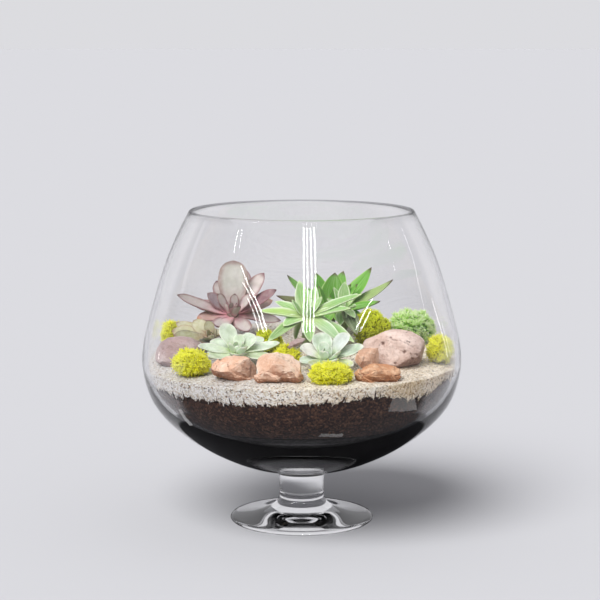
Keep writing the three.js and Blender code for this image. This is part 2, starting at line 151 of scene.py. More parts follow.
def new_piece(name, points, faces, finish=None, smooth=True, **marks):
    """A mesh object at the origin, with float or colour attributes on its points."""
    mesh = bpy.data.meshes.new(name)
    mesh.from_pydata(np.asarray(points).tolist(), [], faces)
    for title, values in marks.items():
        values = np.asarray(values, np.float32)
        kind = "FLOAT_COLOR" if values.ndim == 2 else "FLOAT"
        field = "color" if values.ndim == 2 else "value"
        mesh.attributes.new(title, kind, "POINT").data.foreach_set(field, values.ravel())
    if smooth:
        mesh.shade_smooth()
    if finish:
        mesh.materials.append(finish.material)
    made = bpy.data.objects.new(name, mesh)
    bpy.context.scene.collection.objects.link(made)
    return made


def stands_for(made, node):
    """The piece takes the node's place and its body."""
    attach(made, "root")
    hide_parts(node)


def rides_along(made):
    """A piece beside those that stand for a node, such as grains and hairs."""
    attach(made, "root")


def ring_faces(rows, segments, first=0):
    """Quads between closed rows of corners that run round the axis, one row after the other."""
    faces = []
    for i in range(rows - 1):
        for j in range(segments):
            k = (j + 1) % segments
            a, b = first + i * segments, first + (i + 1) * segments
            faces.append((a + j, a + k, b + k, b + j))
    return faces


def closed_rows(rows, low_centre, high_centre):
    """Points and faces of stacked rows, closed by a corner on the axis at each end."""
    count, segments = rows.shape[:2]
    points = np.vstack([rows.reshape(-1, 3), [[0, 0, low_centre], [0, 0, high_centre]]])
    faces = ring_faces(count, segments)
    last = (count - 1) * segments
    for j in range(segments):
        k = (j + 1) % segments
        faces += [(count * segments, k, j), (last + j, last + k, count * segments + 1)]
    return points, faces


def even_turns(segments):
    """Angles all the way round, from the front to the right."""
    return 2 * np.pi * np.arange(segments) / segments


def round_rows(radius, height, segments):
    """Corners in rows round the axis, from the radius and height of each row or of each corner."""
    turn = even_turns(segments)
    sides = np.broadcast_arrays(radius * np.sin(turn), -radius * np.cos(turn), height)
    return np.stack(sides, -1)


def turned(profile, segments):
    """A closed solid of revolution from rows of radius and height that start and end on the axis."""
    rows = np.array(profile[1:-1], float)
    return closed_rows(round_rows(rows[:, :1], rows[:, 1:], segments), profile[0][1], profile[-1][1])


# Nodes: one method adds any node, and values read as formulas

class Number:
    """A value socket that adds its own Math nodes."""

    def __init__(self, owner, socket):
        self.owner, self.socket = owner, socket

    def math(self, operation, *values):
        made = self.owner.node("ShaderNodeMath", {"operation": operation}, dict(enumerate(values)))
        return Number(self.owner, made.outputs[0])

    def __add__(self, other):
        return self.math("ADD", self, other)

    def __sub__(self, other):
        return self.math("SUBTRACT", self, other)

    def __rsub__(self, other):
        return self.math("SUBTRACT", other, self)

    def __mul__(self, other):
        return self.math("MULTIPLY", self, other)

    __radd__, __rmul__ = __add__, __mul__

    def between(self, low, high):
        """0 below low, 1 above high and smooth between them."""
        inputs = {"Value": self, "From Min": low, "From Max": high}
        made = self.owner.node("ShaderNodeMapRange", {"interpolation_type": "SMOOTHSTEP"}, inputs)
        return Number(self.owner, made.outputs[0])


class Nodes:
    """A node tree that is filled a node at a time."""

    def __init__(self, tree):
        self.tree = tree

    def node(self, kind, settings=None, inputs=None):
        made = self.tree.nodes.new(kind)
        for key, value in (settings or {}).items():
            if key == "stops":
                self.set_stops(made.color_ramp, value)
            else:
                setattr(made, key, value)
        for key, value in (inputs or {}).items():
            self.plug(made.inputs[key], value)
        return made

    def plug(self, socket, value):
        value = getattr(value, "socket", value)
        if isinstance(value, bpy.types.NodeSocket):
            self.tree.links.new(value, socket)
        else:
            socket.default_value = value

    @staticmethod
    def set_stops(ramp, stops):
        while len(ramp.elements) < len(stops):
            ramp.elements.new(1)
        for element, (position, colour) in zip(ramp.elements, stops):
            element.position, element.color = position, colour

    def number(self, made, output=0):
        return Number(self, made.outputs[output])

    def axis(self, vector, which):
        """One side of a vector: 0, 1 and 2 are x, y and z."""
        return self.number(self.node("ShaderNodeSeparateXYZ", None, {0: vector}), which)

    def mix(self, share, first, second, blend="MIX"):
        settings = {"data_type": "RGBA", "blend_type": blend, "clamp_factor": True}
        made = self.node("ShaderNodeMix", settings, {0: share, 6: first, 7: second})
        return made.outputs[2]


class Finish(Nodes):
    """A surface: a Principled shader, whose sockets take constants, formulas and patterns."""

    def __init__(self, name, **constants):
        self.material = bpy.data.materials.new(name)
        self.material.use_nodes = True
        super().__init__(self.material.node_tree)
        self.shader = self.tree.nodes["Principled BSDF"]
        self.place = self.node("ShaderNodeTexCoord").outputs["Object"]
        for title, value in constants.items():
            self.set(title, value)

    def set(self, title, value):
        self.plug(self.shader.inputs[title.replace("_", " ")], value)

    def grain(self, size, detail=3.0, rough=0.55, warp=0.0, place=None):
        """Noise with lumps of about this size in metres."""
        inputs = {"Vector": place or self.place, "Scale": 0.6 / size, "Detail": detail,
                  "Roughness": rough, "Distortion": warp}
        return self.number(self.node("ShaderNodeTexNoise", None, inputs))

    def cells(self, size):
        """Cells of this size in metres: how far their middle is, and a shade of each one's own."""
        cell = self.node("ShaderNodeTexVoronoi", None, {"Vector": self.place, "Scale": 1 / size})
        shade = self.node("ShaderNodeSeparateColor", None, {0: cell.outputs["Color"]})
        return self.number(cell), self.number(shade)

    def mark(self, name, output="Fac"):
        """What the piece's points carry under this name."""
        return self.number(self.node("ShaderNodeAttribute", {"attribute_name": name}), output)

    def ramp(self, value, stops, interpolation="LINEAR"):
        made = self.node("ShaderNodeValToRGB", {"stops": stops}, {0: value})
        made.color_ramp.interpolation = interpolation
        return made.outputs[0]

    def bumps(self, *layers):
        """Bumps from values, each with its depth in metres, one over the other."""
        normal = None
        for height, depth in layers:
            inputs = {"Height": height, "Distance": depth, "Strength": 1.0}
            if normal:
                inputs["Normal"] = normal
            normal = self.node("ShaderNodeBump", None, inputs).outputs[0]
        self.set("Normal", normal)

    def facing_up(self):
        """-1 on undersides to 1 on tops."""
        return self.axis(self.node("ShaderNodeNewGeometry").outputs["Normal"], 2)


class Shape(Nodes):
    """A geometry tree with named inputs, run once on an object to make a plain mesh."""

    def __init__(self, name, **inputs):
        super().__init__(bpy.data.node_groups.new(name, "GeometryNodeTree"))
        sockets = self.tree.interface
        sockets.new_socket("Geometry", in_out="INPUT", socket_type="NodeSocketGeometry")
        sockets.new_socket("Geometry", in_out="OUTPUT", socket_type="NodeSocketGeometry")
        self.names = {}
        for title, kind in inputs.items():
            made = sockets.new_socket(title, in_out="INPUT", socket_type="NodeSocket" + kind)
            self.names[title] = made.identifier
        self.given = self.node("NodeGroupInput").outputs
        self.result = self.node("NodeGroupOutput").inputs[0]

    def run(self, base, name, **values):
        """A new object with what the tree makes of the base."""
        modifier = base.modifiers.new(self.tree.name, "NODES")
        modifier.node_group = self.tree
        for title, value in values.items():
            modifier[self.names[title]] = value
        graph = bpy.context.evaluated_depsgraph_get()
        mesh = bpy.data.meshes.new_from_object(base.evaluated_get(graph))
        base.modifiers.remove(modifier)
        mesh.name = name
        made = bpy.data.objects.new(name, mesh)
        bpy.context.scene.collection.objects.link(made)
        return made


def scatter_tree(name, keep_base):
    """Copies strewn over a surface, leaning at random, each with a shade of its own."""
    shape = Shape(name, Copies="Collection", Spacing="Float", Smallest="Float", Largest="Float",
                  Lean="Float", Where="String", Seed="Int", Finish="Material")
    given = shape.given
    where = shape.node("GeometryNodeInputNamedAttribute", {"data_type": "FLOAT"}, {"Name": given["Where"]})
    strewn = shape.node("GeometryNodeDistributePointsOnFaces", {"distribute_method": "POISSON"}, {
        "Mesh": given["Geometry"], "Distance Min": given["Spacing"], "Density Max": 4e6,
        "Density Factor": where.outputs["Attribute"], "Seed": given["Seed"]})
    copies = shape.node("GeometryNodeCollectionInfo", None, {
        "Collection": given["Copies"], "Separate Children": True, "Reset Children": True})
    negative = shape.node("ShaderNodeMath", {"operation": "MULTIPLY"}, {0: given["Lean"], 1: -1.0})
    least = shape.node("ShaderNodeCombineXYZ", None, {0: negative.outputs[0], 1: negative.outputs[0]})
    most = shape.node("ShaderNodeCombineXYZ", None, {0: given["Lean"], 1: given["Lean"], 2: math.tau})
    lean = shape.node("FunctionNodeRandomValue", {"data_type": "FLOAT_VECTOR"}, {
        0: least.outputs[0], 1: most.outputs[0], "Seed": given["Seed"]})
    by = shape.node("FunctionNodeEulerToRotation", None, {0: lean.outputs[0]})
    turn = shape.node("FunctionNodeRotateRotation", {"rotation_space": "LOCAL"}, {
        0: strewn.outputs["Rotation"], 1: by.outputs[0]})
    size = shape.node("FunctionNodeRandomValue", {"data_type": "FLOAT"}, {
        2: given["Smallest"], 3: given["Largest"], "Seed": given["Seed"]})
    placed = shape.node("GeometryNodeInstanceOnPoints", None, {
        "Points": strewn.outputs["Points"], "Instance": copies.outputs[0], "Pick Instance": True,
        "Rotation": turn.outputs[0], "Scale": size.outputs[1]})
    shade = shape.node("FunctionNodeRandomValue", {"data_type": "FLOAT"}, {"Seed": 3})
    marked = shape.node("GeometryNodeStoreNamedAttribute", {"data_type": "FLOAT", "domain": "INSTANCE"}, {
        "Geometry": placed.outputs[0], "Name": "shade", "Value": shade.outputs[1]})
    real = shape.node("GeometryNodeRealizeInstances", None, {0: marked.outputs[0]}).outputs[0]
    if keep_base:
        both = shape.node("GeometryNodeJoinGeometry")
        shape.tree.links.new(given["Geometry"], both.inputs[0])
        shape.tree.links.new(real, both.inputs[0])
        real = both.outputs[0]
    dressed = shape.node("GeometryNodeSetMaterial", None, {0: real, "Material": given["Finish"]})
    shape.plug(shape.result, dressed.outputs[0])
    return shape


def copies_of(name, meshes):
    """A collection of small objects for scattering."""
    group = bpy.data.collections.new(name)
    for k, (points, faces, reach) in enumerate(meshes):
        made = new_piece(f"{name}_{k}", points, faces, smooth=False, reach=reach)
        bpy.context.scene.collection.objects.unlink(made)
        group.objects.link(made)
    return group


def drop_copies(group):
    """The small objects aren't needed once they are strewn."""
    for member in list(group.objects):
        bpy.data.objects.remove(member)
    bpy.data.collections.remove(group)


# The glass bowl

OUTSIDE = [
    (FOOT_RADIUS - 1.2, 3), (50, 5.2), (36, 8.4), (27, 13), (STEM_RADIUS, 19), (STEM_RADIUS - 0.8, 27),
    (STEM_RADIUS, STEM_TOP), (STEM_RADIUS + 0.4, 44), (24.8, 47.6), (32, 49.6), (45, 52.2), (56, 55.2),
    (67, 59.4), (80, 65.4), (93, 72.4), (105.5, 80.6), (117.4, 89.8), (128, 99.4), (136.6, 109.6),
    (142.8, 120.5), (146.9, 133), (149.4, 146), (BELLY_RADIUS, 156), (148.6, 170), (144, 190),
    (137.2, 214), (129, 241), (118.2, 268), (RIM_RADIUS + 0.6, 292.6),
]
RIM = [(RIM_RADIUS - 0.6, HEIGHT - 0.4), (RIM_RADIUS - 1.5, HEIGHT), (RIM_RADIUS - 2.6, 293.7)]
INSIDE = [
    (106.2, 285), (114, 268), (124.6, 241), (132.7, 214), (139.5, 190), (144.2, 170), (145.4, 156),
    (144.7, 146), (141.9, 134), (137.4, 122.5), (130.8, 112.6), (122, 103.6), (111.6, 95.4), (99.8, 88),
    (87.4, 81.4), (74.6, 75.6), (61.6, 70.8), (46, 66.6), (26, 63.4), (0, BOWL_FLOOR),
]


def clear_glass():
    """Clear glass that lets light through to the planting. Its fire-polished lip is painted pale: near the
    top it turns see-through to every ray, so the rim shows the pale backdrop.
    """
    finish = Finish("clear_glass", Base_Color=(1.0, 0.997, 1.0, 1), Roughness=0.0, IOR=1.5,
                    Transmission_Weight=1.0)
    rays = finish.node("ShaderNodeLightPath").outputs
    open_way = finish.number(finish.node("ShaderNodeMath", {"operation": "MAXIMUM"}, {
        0: rays["Is Shadow Ray"], 1: rays["Is Diffuse Ray"]}))
    # Painted pale lip: near the top the glass is see-through to camera and reflected rays too
    open_way = open_way.math("MAXIMUM", open_way, finish.mark("lip"))
    through = finish.node("ShaderNodeBsdfTransparent", None, {0: (0.965, 0.965, 0.97, 1)})
    both = finish.node("ShaderNodeMixShader", None, {
        0: open_way, 1: finish.shader.outputs[0], 2: through.outputs[0]})
    finish.plug(finish.tree.nodes["Material Output"].inputs[0], both.outputs[0])
    return finish


def evened(run, rounds):
    """The same curve with its kinks smoothed away and its ends kept."""
    run = run.copy()
    for _ in range(rounds):
        run[1:-1] += 0.25 * (run[:-2] - 2 * run[1:-1] + run[2:])
    return run


def side_of_bowl(stations):
    """A fair curve through the stations of one side of the wall."""
    return evened(smooth_run(stations, 12), 60)[::3]


def glass_bowl():
    """Foot, stem and bowl, blown as one: its section turned round the axis."""
    edge = smooth_run([(FOOT_RADIUS - 1.4, 0), (FOOT_RADIUS, 1.3), (FOOT_RADIUS - 1.2, 3)], 5)
    outer = side_of_bowl(OUTSIDE)
    reach, height = outer.T.copy()
    # The thick base spreads between these radii, and only above the stem
    base = smoothstep(reach, 24, 32) * (1 - smoothstep(reach, 62, 72)) * (height > STEM_TOP)
    outer[:, 1] += BASE_RIPPLE * base * np.sin(reach * 0.62 + 1.5 * np.sin(reach * 0.23))
    top = smooth_run([OUTSIDE[-1]] + RIM + INSIDE[:1], 5)[1:-1]
    inner = side_of_bowl(INSIDE)
    profile = [(0, 0), (30, 0)] + edge[:-1].tolist() + outer.tolist() + top.tolist() + inner.tolist()
    points, faces = turned(profile, GLASS_SEGMENTS)
    lip = LIP_SHARE * smoothstep(points[:, 2], HEIGHT - LIP_FROM, HEIGHT - LIP_FULL)
    stands_for(new_piece("glass_wall", points * MM, faces, clear_glass(), lip=lip), "glass_bowl")


# The filling

def inner_outline():
    """The inside of the glass, moved inwards by the clearance, from the bottom up."""
    run = smooth_run(INSIDE[::-1], 8)
    along = np.gradient(run, axis=0)
    along /= np.linalg.norm(along, axis=1)[:, None]
    moved = run + CLEARANCE * np.stack([-along[:, 1], along[:, 0]], 1)
    moved[0, 0] = 0
    return moved


FILL_OUTLINE = inner_outline()
BELLY_ROW = int(np.argmax(FILL_OUTLINE[:, 0]))


def fill_radius(z):
    """How far out the filling reaches at a height."""
    return np.interp(z, FILL_OUTLINE[:BELLY_ROW, 1], FILL_OUTLINE[:BELLY_ROW, 0])


def ripples(x, y):
    """The uneven lie of poured sand."""
    return RIPPLE * (np.sin(x / 11 + 1.3) * np.cos(y / 13) + 0.6 * np.sin((x - 1.7 * y) / 9))


def sand_top(x, y):
    """The height of the sand, which rises to the back, a little to the right and to the middle."""
    from_middle = np.minimum(1, np.hypot(x, y) / WALL_REACH)
    return (SAND_TOP_FRONT + SAND_RISE_BACK * smoothstep(y, SLOPE_FROM, SLOPE_TO)
            + SAND_RISE_RIGHT * x / WALL_REACH + SAND_MOUND * (1 - from_middle ** 2) + ripples(x, y))


def soil_top(x, y):
    """The height of the soil under the sand, with its heaps."""
    height = sand_top(x, y) - SAND_THICKNESS + ripples(1.9 * x + 40, 1.9 * y)
    for across, spread, rise in SOIL_HEAPS:
        height = height + rise * np.exp(-(((x - across) / spread) ** 2))
    return height


def lumps(points, size, octaves=3):
    """Noise at the points, about -1 to 1, with lumps of this size."""
    spots = np.asarray(points, float) / size
    return np.array([noise.fractal(Vector(p), 0.8, 2.1, octaves) for p in spots])


def chips(points, size):
    """0 in the middle of a lump to 1 at the gap between two."""
    spots = np.asarray(points, float) / size
    gaps = (noise.voronoi(Vector(p))[0] for p in spots)
    return np.array([1 - min(1.0, 2.2 * (d[1] - d[0])) for d in gaps])


def facets(points, size):
    """Broken planes, each tilted its own way, with ledges between them, about -1 to 1."""
    tilts = []
    for spot in np.asarray(points, float) / size:
        place = Vector(spot)
        centre = noise.voronoi(place)[1][0]
        tilts.append(noise.cell_vector(centre * 7.3).normalized().dot(place - centre))
    return 1.6 * np.array(tilts)


def pushed_in(rows, depth):
    """Rows of corners moved towards the axis by a depth each."""
    flat = rows.reshape(-1, 3).copy()
    reach = np.hypot(flat[:, 0], flat[:, 1])
    flat[:, :2] *= ((reach - depth.ravel()) / np.maximum(reach, 1e-6))[:, None]
    return flat.reshape(rows.shape)


def dark_grains(name, colours, size, depth):
    """Crumbs of charcoal or soil: broken cells, each of its own shade."""
    finish = Finish(name, Roughness=0.85)
    middle, shade = finish.cells(size)
    crumbs = finish.grain(size * 0.4, 4.0)
    finish.set("Base Color", finish.ramp(shade * 0.7 + crumbs * 0.5 - 0.1, colours))
    finish.bumps((crumbs, depth * 0.5), (1 - middle, depth))
    return finish


def charcoal_layer():
    """Crushed charcoal: chips of two sizes pressed against the glass, and a flat top."""
    below = FILL_OUTLINE[FILL_OUTLINE[:, 1] < CHARCOAL_TOP][1:]
    top_radius = fill_radius(CHARCOAL_TOP)
    outline = np.vstack([below, [[top_radius, CHARCOAL_TOP]]])
    steps = np.r_[0, np.cumsum(np.hypot(*np.diff(outline, axis=0).T))]
    even = np.linspace(0, steps[-1], CHARCOAL_ROWS)[:, None]
    radius, height = np.interp(even, steps, outline[:, 0]), np.interp(even, steps, outline[:, 1])
    rows = round_rows(radius, height, CHARCOAL_SEGMENTS)
    spots = rows.reshape(-1, 3)
    # Gaps between chips of 4.5 mm are 0.9 mm deep, and their faces are slightly rough
    depth = 0.9 * chips(spots, 4.5) + 0.25 * np.abs(lumps(spots, 1.7, 2))
    rows = pushed_in(rows, np.minimum(depth, 0.2 * np.hypot(spots[:, 0], spots[:, 1])))
    flat = rows[-1:] * np.array([0.5, 0.5, 1])
    points, faces = closed_rows(np.concatenate([rows, flat]), BOWL_FLOOR + CLEARANCE, CHARCOAL_TOP)
    colours = [(0, rgb(9, 8, 8)), (0.6, rgb(24, 22, 21)), (1, rgb(58, 54, 52))]
    finish = dark_grains("charcoal", colours, 0.0042, 0.0006)
    stands_for(new_piece("charcoal_chips", points * MM, faces, finish), "charcoal_layer")


def soil_layer():
    """Crumbly soil, pressed back a little further where the sand comes near."""
    share = np.linspace(0, 1, SOIL_ROWS)[:, None]
    edge = wall_edge(even_turns(SOIL_SEGMENTS))
    height = CHARCOAL_TOP + CLEARANCE + share * (edge + 2 - CHARCOAL_TOP)
    rows = round_rows(fill_radius(height), height, SOIL_SEGMENTS)
    spots = rows.reshape(-1, 3)
    near_sand = smoothstep(rows[..., 2], 126, 138).ravel()
    # Gaps between crumbs of 3.1 mm are 0.5 mm deep
    depth = 0.15 + 0.5 * chips(spots, 3.1) + 0.3 * np.abs(lumps(spots, 1.4, 2)) + 0.5 * near_sand
    rows = pushed_in(rows, depth)
    inner = rows[-1:] * np.array([0.93, 0.93, 1]) - np.array([0, 0, 6])
    points, faces = closed_rows(np.concatenate([rows, inner]), CHARCOAL_TOP + CLEARANCE, 140)
    colours = [(0, rgb(14, 8, 6)), (0.5, rgb(46, 27, 19)), (0.8, rgb(80, 53, 40)), (1, rgb(132, 96, 74))]
    finish = dark_grains("soil", colours, 0.0015, 0.0004)
    stands_for(new_piece("soil_crumbs", points * MM, faces, finish), "soil_layer")
    slivers("soil_roots", finish, 120, seed=41, up=1, lengths=(3, 9), widths=(0.9, 2.2))
    slivers("soil_specks", finish, 480, seed=43, up=1, lengths=(0.9, 2.6), widths=(0.7, 1.5))


def slivers(name, finish, count, seed, up, lengths, widths):
    """Thin pointed streaks along the glass, from where sand meets soil: of root upwards, of sand down."""
    draw = seeded_draws(seed)
    points, faces = [], []
    turns = np.array([draw(-math.pi, math.pi) for _ in range(count)])
    for turn, z in zip(turns, wall_edge(turns)):
        z -= up * 0.6
        length, width = draw(*lengths) * draw(0.5, 1), draw(*widths)
        heading, bend, first = draw(-0.8, 0.8), draw(-0.16, 0.16), len(points)
        for k in range(SLIVER_ROWS):
            reach = fill_radius(z) + 0.1
            taper = width / 2 * (1 - 0.85 * k / (SLIVER_ROWS - 1))
            out = np.array([math.sin(turn), -math.cos(turn), 0])
            side = np.array([math.cos(turn) * math.cos(heading), math.sin(turn) * math.cos(heading),
                             -up * math.sin(heading)])
            for angle in (0, math.pi / 2, math.pi, math.pi * 1.5):
                shift = out * 0.12 * math.cos(angle) + side * taper * math.sin(angle)
                points.append(out * reach + (0, 0, z) + shift)
            heading += bend
            turn += length / (SLIVER_ROWS - 1) * math.sin(heading) / reach
            z += up * length / (SLIVER_ROWS - 1) * math.cos(heading)
        faces += ring_faces(SLIVER_ROWS, 4, first)
        faces += [(first + 3, first + 2, first + 1, first), tuple(range(len(points) - 4, len(points)))]
    made = new_piece(name, np.array(points) * MM, faces, finish)
    outwards(made)
    rides_along(made)


def outwards(made):
    """Faces of closed shells turned to point out."""
    shell = bmesh.new()
    shell.from_mesh(made.data)
    bmesh.ops.recalc_face_normals(shell, faces=shell.faces)
    shell.to_mesh(made.data)
    shell.free()


def sand_finish():
    """Coarse sand: each grain off-white, tan, grey or dark."""
    finish = Finish("coarse_sand", Roughness=0.9)
    middle, pick = finish.cells(0.0012)
    grains = finish.ramp(pick, [
        (0, rgb(238, 232, 220)), (0.34, rgb(222, 212, 194)), (0.62, rgb(204, 188, 162)),
        (0.8, rgb(180, 170, 156)), (0.91, rgb(158, 128, 98)), (0.96, rgb(88, 78, 68))], "CONSTANT")
    across = finish.axis(finish.place, 0)
    cool = 1 - across.between(-0.08, 0.02)
    grains = finish.mix(cool * 0.8, grains, rgb(226, 232, 246), "MULTIPLY")
    warm = across.between(0.0, 0.1) * finish.grain(0.03).between(0.3, 0.6)
    warm = warm * (1 - finish.facing_up().between(0.3, 0.8) * 0.8)
    finish.set("Base Color", finish.mix(warm * 0.75, grains, rgb(230, 208, 168), "MULTIPLY"))
    finish.bumps((1 - middle, 0.0005), (finish.grain(0.0006, 2.0), 0.0002))
    return finish


def wall_edge(turn):
    """The height where sand meets soil at the glass: ragged, with streaks, and higher at the right."""
    x, y = WALL_REACH * np.sin(turn), -WALL_REACH * np.cos(turn)
    spots = np.stack([np.cos(turn), np.sin(turn), np.zeros_like(turn)], 1)
    # Streaks that ran down up to 5 mm, fine teeth, and soil banked up at the right
    streaks = np.maximum(0, lumps(spots, 0.045, 2)) ** 1.3 * 5
    teeth = lumps(spots + 3, 0.014, 3) * 1.5
    heap = 9 * smoothstep(x, 96, 128)
    return np.minimum(soil_top(x, y) + CLEARANCE + heap - streaks - teeth, sand_top(x, y) - 4)


def sand_layer(finish):
    """The sand: a ragged wall along the glass, a rough top, and the hollow underside over the soil."""
    turn = even_turns(SAND_SEGMENTS)
    x, y = WALL_REACH * np.sin(turn), -WALL_REACH * np.cos(turn)
    high, low = sand_top(x, y), wall_edge(turn)
    height = low + np.linspace(0, 1, SAND_WALL_ROWS)[:, None] * (high - low)
    wall = round_rows(fill_radius(height), height, SAND_SEGMENTS)
    wall = pushed_in(wall, 0.22 * np.abs(lumps(wall.reshape(-1, 3), 1.1, 2)))
    under = wall[0] * np.array([0.975, 0.975, 1]) + np.array([0, 0, 1])
    deep = wall[0] * np.array([0.9, 0.9, 0])
    deep[:, 2] = soil_top(deep[:, 0], deep[:, 1]) + CLEARANCE
    rings = []
    for share in np.linspace(1, 0.01, SAND_RINGS)[1:]:
        ring = wall[-1] * share
        ring[:, 2] = sand_top(ring[:, 0], ring[:, 1])
        rings.append(ring)
    top = np.array(rings)
    spots = top.reshape(-1, 3)
    # Low lumps of 7 mm and the roughness of the grains
    top[..., 2] += (0.35 * lumps(spots, 7.0, 3) + 0.3 * lumps(spots, 1.5, 2)).reshape(top.shape[:2])
    rows = np.concatenate([deep[None], under[None], wall, top])
    points, faces = closed_rows(rows, float(soil_top(0, 0)) + CLEARANCE, float(sand_top(0, 0)))
    made = new_piece("sand_bed", points * MM, faces, finish, upper=(points[:, 2] > 147).astype(float))
    stands_for(made, "sand_layer")
    slivers("sand_streaks", finish, 320, seed=47, up=-1, lengths=(1.0, 3.6), widths=(0.8, 2.0))
    return made


def crumb(seed, size):
    """A broken grain of eight faces."""
    draw = seeded_draws(seed)
    tips = [(1, 0, 0), (-1, 0, 0), (0, 1, 0), (0, -1, 0), (0, 0, 1), (0, 0, -1)]
    points = [[c * draw(0.7, 1.1) * size + draw(-0.15, 0.15) * size for c in tip] for tip in tips]
    faces = [(0, 2, 4), (2, 1, 4), (1, 3, 4), (3, 0, 4), (2, 0, 5), (1, 2, 5), (3, 1, 5), (0, 3, 5)]
    return points, faces, [1.0] * 6


def sand_grains(bed, finish):
    """Loose grains strewn over the top of the sand."""
    group = copies_of("grain", [crumb(seed, 0.5 * MM) for seed in (3, 8, 14, 21)])
    tree = scatter_tree("strewn_grains", keep_base=False)
    made = tree.run(bed, "sand_grains", Copies=group, Spacing=2.9 * MM, Smallest=0.6, Largest=1.35,
                    Lean=1.5, Where="upper", Seed=5, Finish=finish.material)
    drop_copies(group)
    rides_along(made)


# Stones

BED_DIP = (0.32, 0.15, 0.93)   # the way across the stone's beds
BED_SPACING = 8.5
LARGE_STONE = 0.03             # in metres across: from this size on, its mesh is finer


def refined(node, cuts, rounds, share=0.5):
    """A copy of a node's mesh as one finely divided, slightly rounded surface."""
    shell = bmesh.new()
    shell.from_mesh(frame["nodes"][node].data)
    bmesh.ops.remove_doubles(shell, verts=shell.verts, dist=1e-6)
    bmesh.ops.subdivide_edges(shell, edges=shell.edges, cuts=cuts, use_grid_fill=True)
    for _ in range(rounds):
        bmesh.ops.smooth_vert(shell, verts=shell.verts, factor=share, use_axis_x=True, use_axis_y=True,
                              use_axis_z=True)
    bmesh.ops.triangulate(shell, faces=shell.faces)
    shell.normal_update()
    points = np.array([v.co for v in shell.verts])
    normals = np.array([v.normal for v in shell.verts])
    faces = [tuple(v.index for v in face.verts) for face in shell.faces]
    shell.free()
    return points, normals, faces


def stone_finish(name, light, body, dark, under, pits):
    """Sandstone: soft patches and dark flecks, pits and cracks darkened as painted shade, and painted shade
    on the underside.
    """
    finish = Finish(name, Roughness=0.9, Specular_IOR_Level=0.2)
    patches = finish.grain(0.011, 4.0, 0.6, 0.4)
    flecks = finish.grain(0.0013, 3.0, 0.7)
    beds = finish.grain(0.006, 3.0, 0.6, 1.5)
    colour = finish.mix(patches.between(0.42, 0.66), body, light)
    colour = finish.mix(beds.between(0.56, 0.72) * 0.6, colour, dark)
    # Painted shade: faces that turn downwards take the under colour
    shaded = 1 - finish.facing_up().between(-0.55, 0.25)
    colour = finish.mix(shaded * 0.75, colour, under)
    colour = finish.mix(flecks.between(0.56, 0.70) * 0.6, colour, dark)
    colour = finish.mix((1 - flecks.between(0.32, 0.44)) * 0.5, colour, light)
    # Painted shade: pits coloured near-black
    hole = 1 - finish.cells(0.0042)[0].between(0.05, 0.22)
    hole = hole * finish.grain(0.01).between(0.5, 0.56) * pits
    colour = finish.mix(hole * 0.9, colour, rgb(84, 58, 50))
    # Painted shade: cracks and front pits coloured darker
    colour = finish.mix(finish.mark("crack"), colour, rgb(104, 72, 60))
    finish.set("Base Color", colour)
    finish.bumps((patches, 0.0014), (beds, 0.0014), (flecks, 0.001), (1 - hole, 0.0012))
    return finish


def stone(node, finish, roughness, grit, cracks, seed, broken=True, pits=()):
    """The node's own form with broken planes or worn smooth, with grit, and bedding cracks and pits in front
    that are pressed in and darkened with painted shade.
    """
    cuts = 5 if frame["nodes"][node].dimensions.x > LARGE_STONE else 3
    points, normals, faces = refined(node, cuts, 1 if broken else 3, 0.3 if broken else 0.5)
    spots = points / MM + seed * 17.3
    # Broken faces about 15 mm wide with smaller ones on them, or soft lumps as wide
    planes = facets(spots, 15.0) + 0.25 * facets(spots, 6.0) if broken else lumps(spots, 14.0, 2)
    beds = spots @ np.array(BED_DIP) + 2.6 * lumps(spots, 11, 2)
    crack = smoothstep(np.cos(beds * math.tau / BED_SPACING), 0.955, 1.0)
    crack = crack * smoothstep(lumps(spots, 16, 1), 0.05, 0.3) * cracks
    # Pits in the front face, each at its place and with its width, darkened with painted shade
    for x, z, width in pits:
        away = np.hypot(points[:, 0] / MM - x, points[:, 2] / MM - z) / width
        crack = np.maximum(crack, 1.6 * np.exp(-away ** 4) * (normals[:, 1] < 0))
    lift = roughness * planes + grit * lumps(spots, 1.6, 3) - 0.9 * crack - 0.4
    moved = points + normals * (lift * MM)[:, None]
    made = new_piece(node.replace("stone", "rock"), moved, faces, finish, crack=np.minimum(crack * 0.7, 1))
    if broken:
        made.data.set_sharp_from_angle(angle=math.radians(20))
    stands_for(made, node)


def stones():
    """Five broken stones, from orange to rusty and mauve, and two worn ones."""
    orange = stone_finish("orange_sandstone", rgb(236, 212, 190), rgb(222, 180, 152), rgb(192, 138, 108),
                          rgb(150, 92, 62), 0.3)
    pink = stone_finish("pink_sandstone", rgb(232, 210, 198), rgb(212, 184, 170), rgb(166, 130, 114),
                        rgb(116, 82, 68), 1.0)
    mauve = stone_finish("mauve_sandstone", rgb(192, 174, 170), rgb(178, 154, 150), rgb(154, 126, 124),
                         rgb(116, 88, 86), 0.4)
    rusty = stone_finish("rusty_sandstone", rgb(226, 188, 154), rgb(196, 142, 104), rgb(150, 90, 58),
                         rgb(108, 58, 34), 0.35)
    # Roughness and grit in millimetres, the strength of the cracks, and a seed
    stone("stone_front_left", orange, 1.5, 0.13, 0.5, 1)
    stone("stone_front_middle", orange, 1.5, 0.13, 0.5, 2)
    stone("stone_front_right", rusty, 1.4, 0.15, 0.6, 3)
    stone("stone_wedge", orange, 0.6, 0.2, 0.4, 4)
    stone("stone_splinter", mauve, 0.3, 0.15, 0.3, 5)
    pits = [(73, 178, 1.3), (92, 171, 1.2), (80, 184, 1.0), (100, 164, 0.9), (66, 168, 0.9), (84, 160, 1.0)]
    stone("stone_boulder", pink, 0.7, 0.16, 0.8, 6, broken=False, pits=pits)
    stone("stone_far_left", mauve, 0.7, 0.16, 0.4, 7, broken=False)


# Moss: tufts of short branches, strewn over each clump

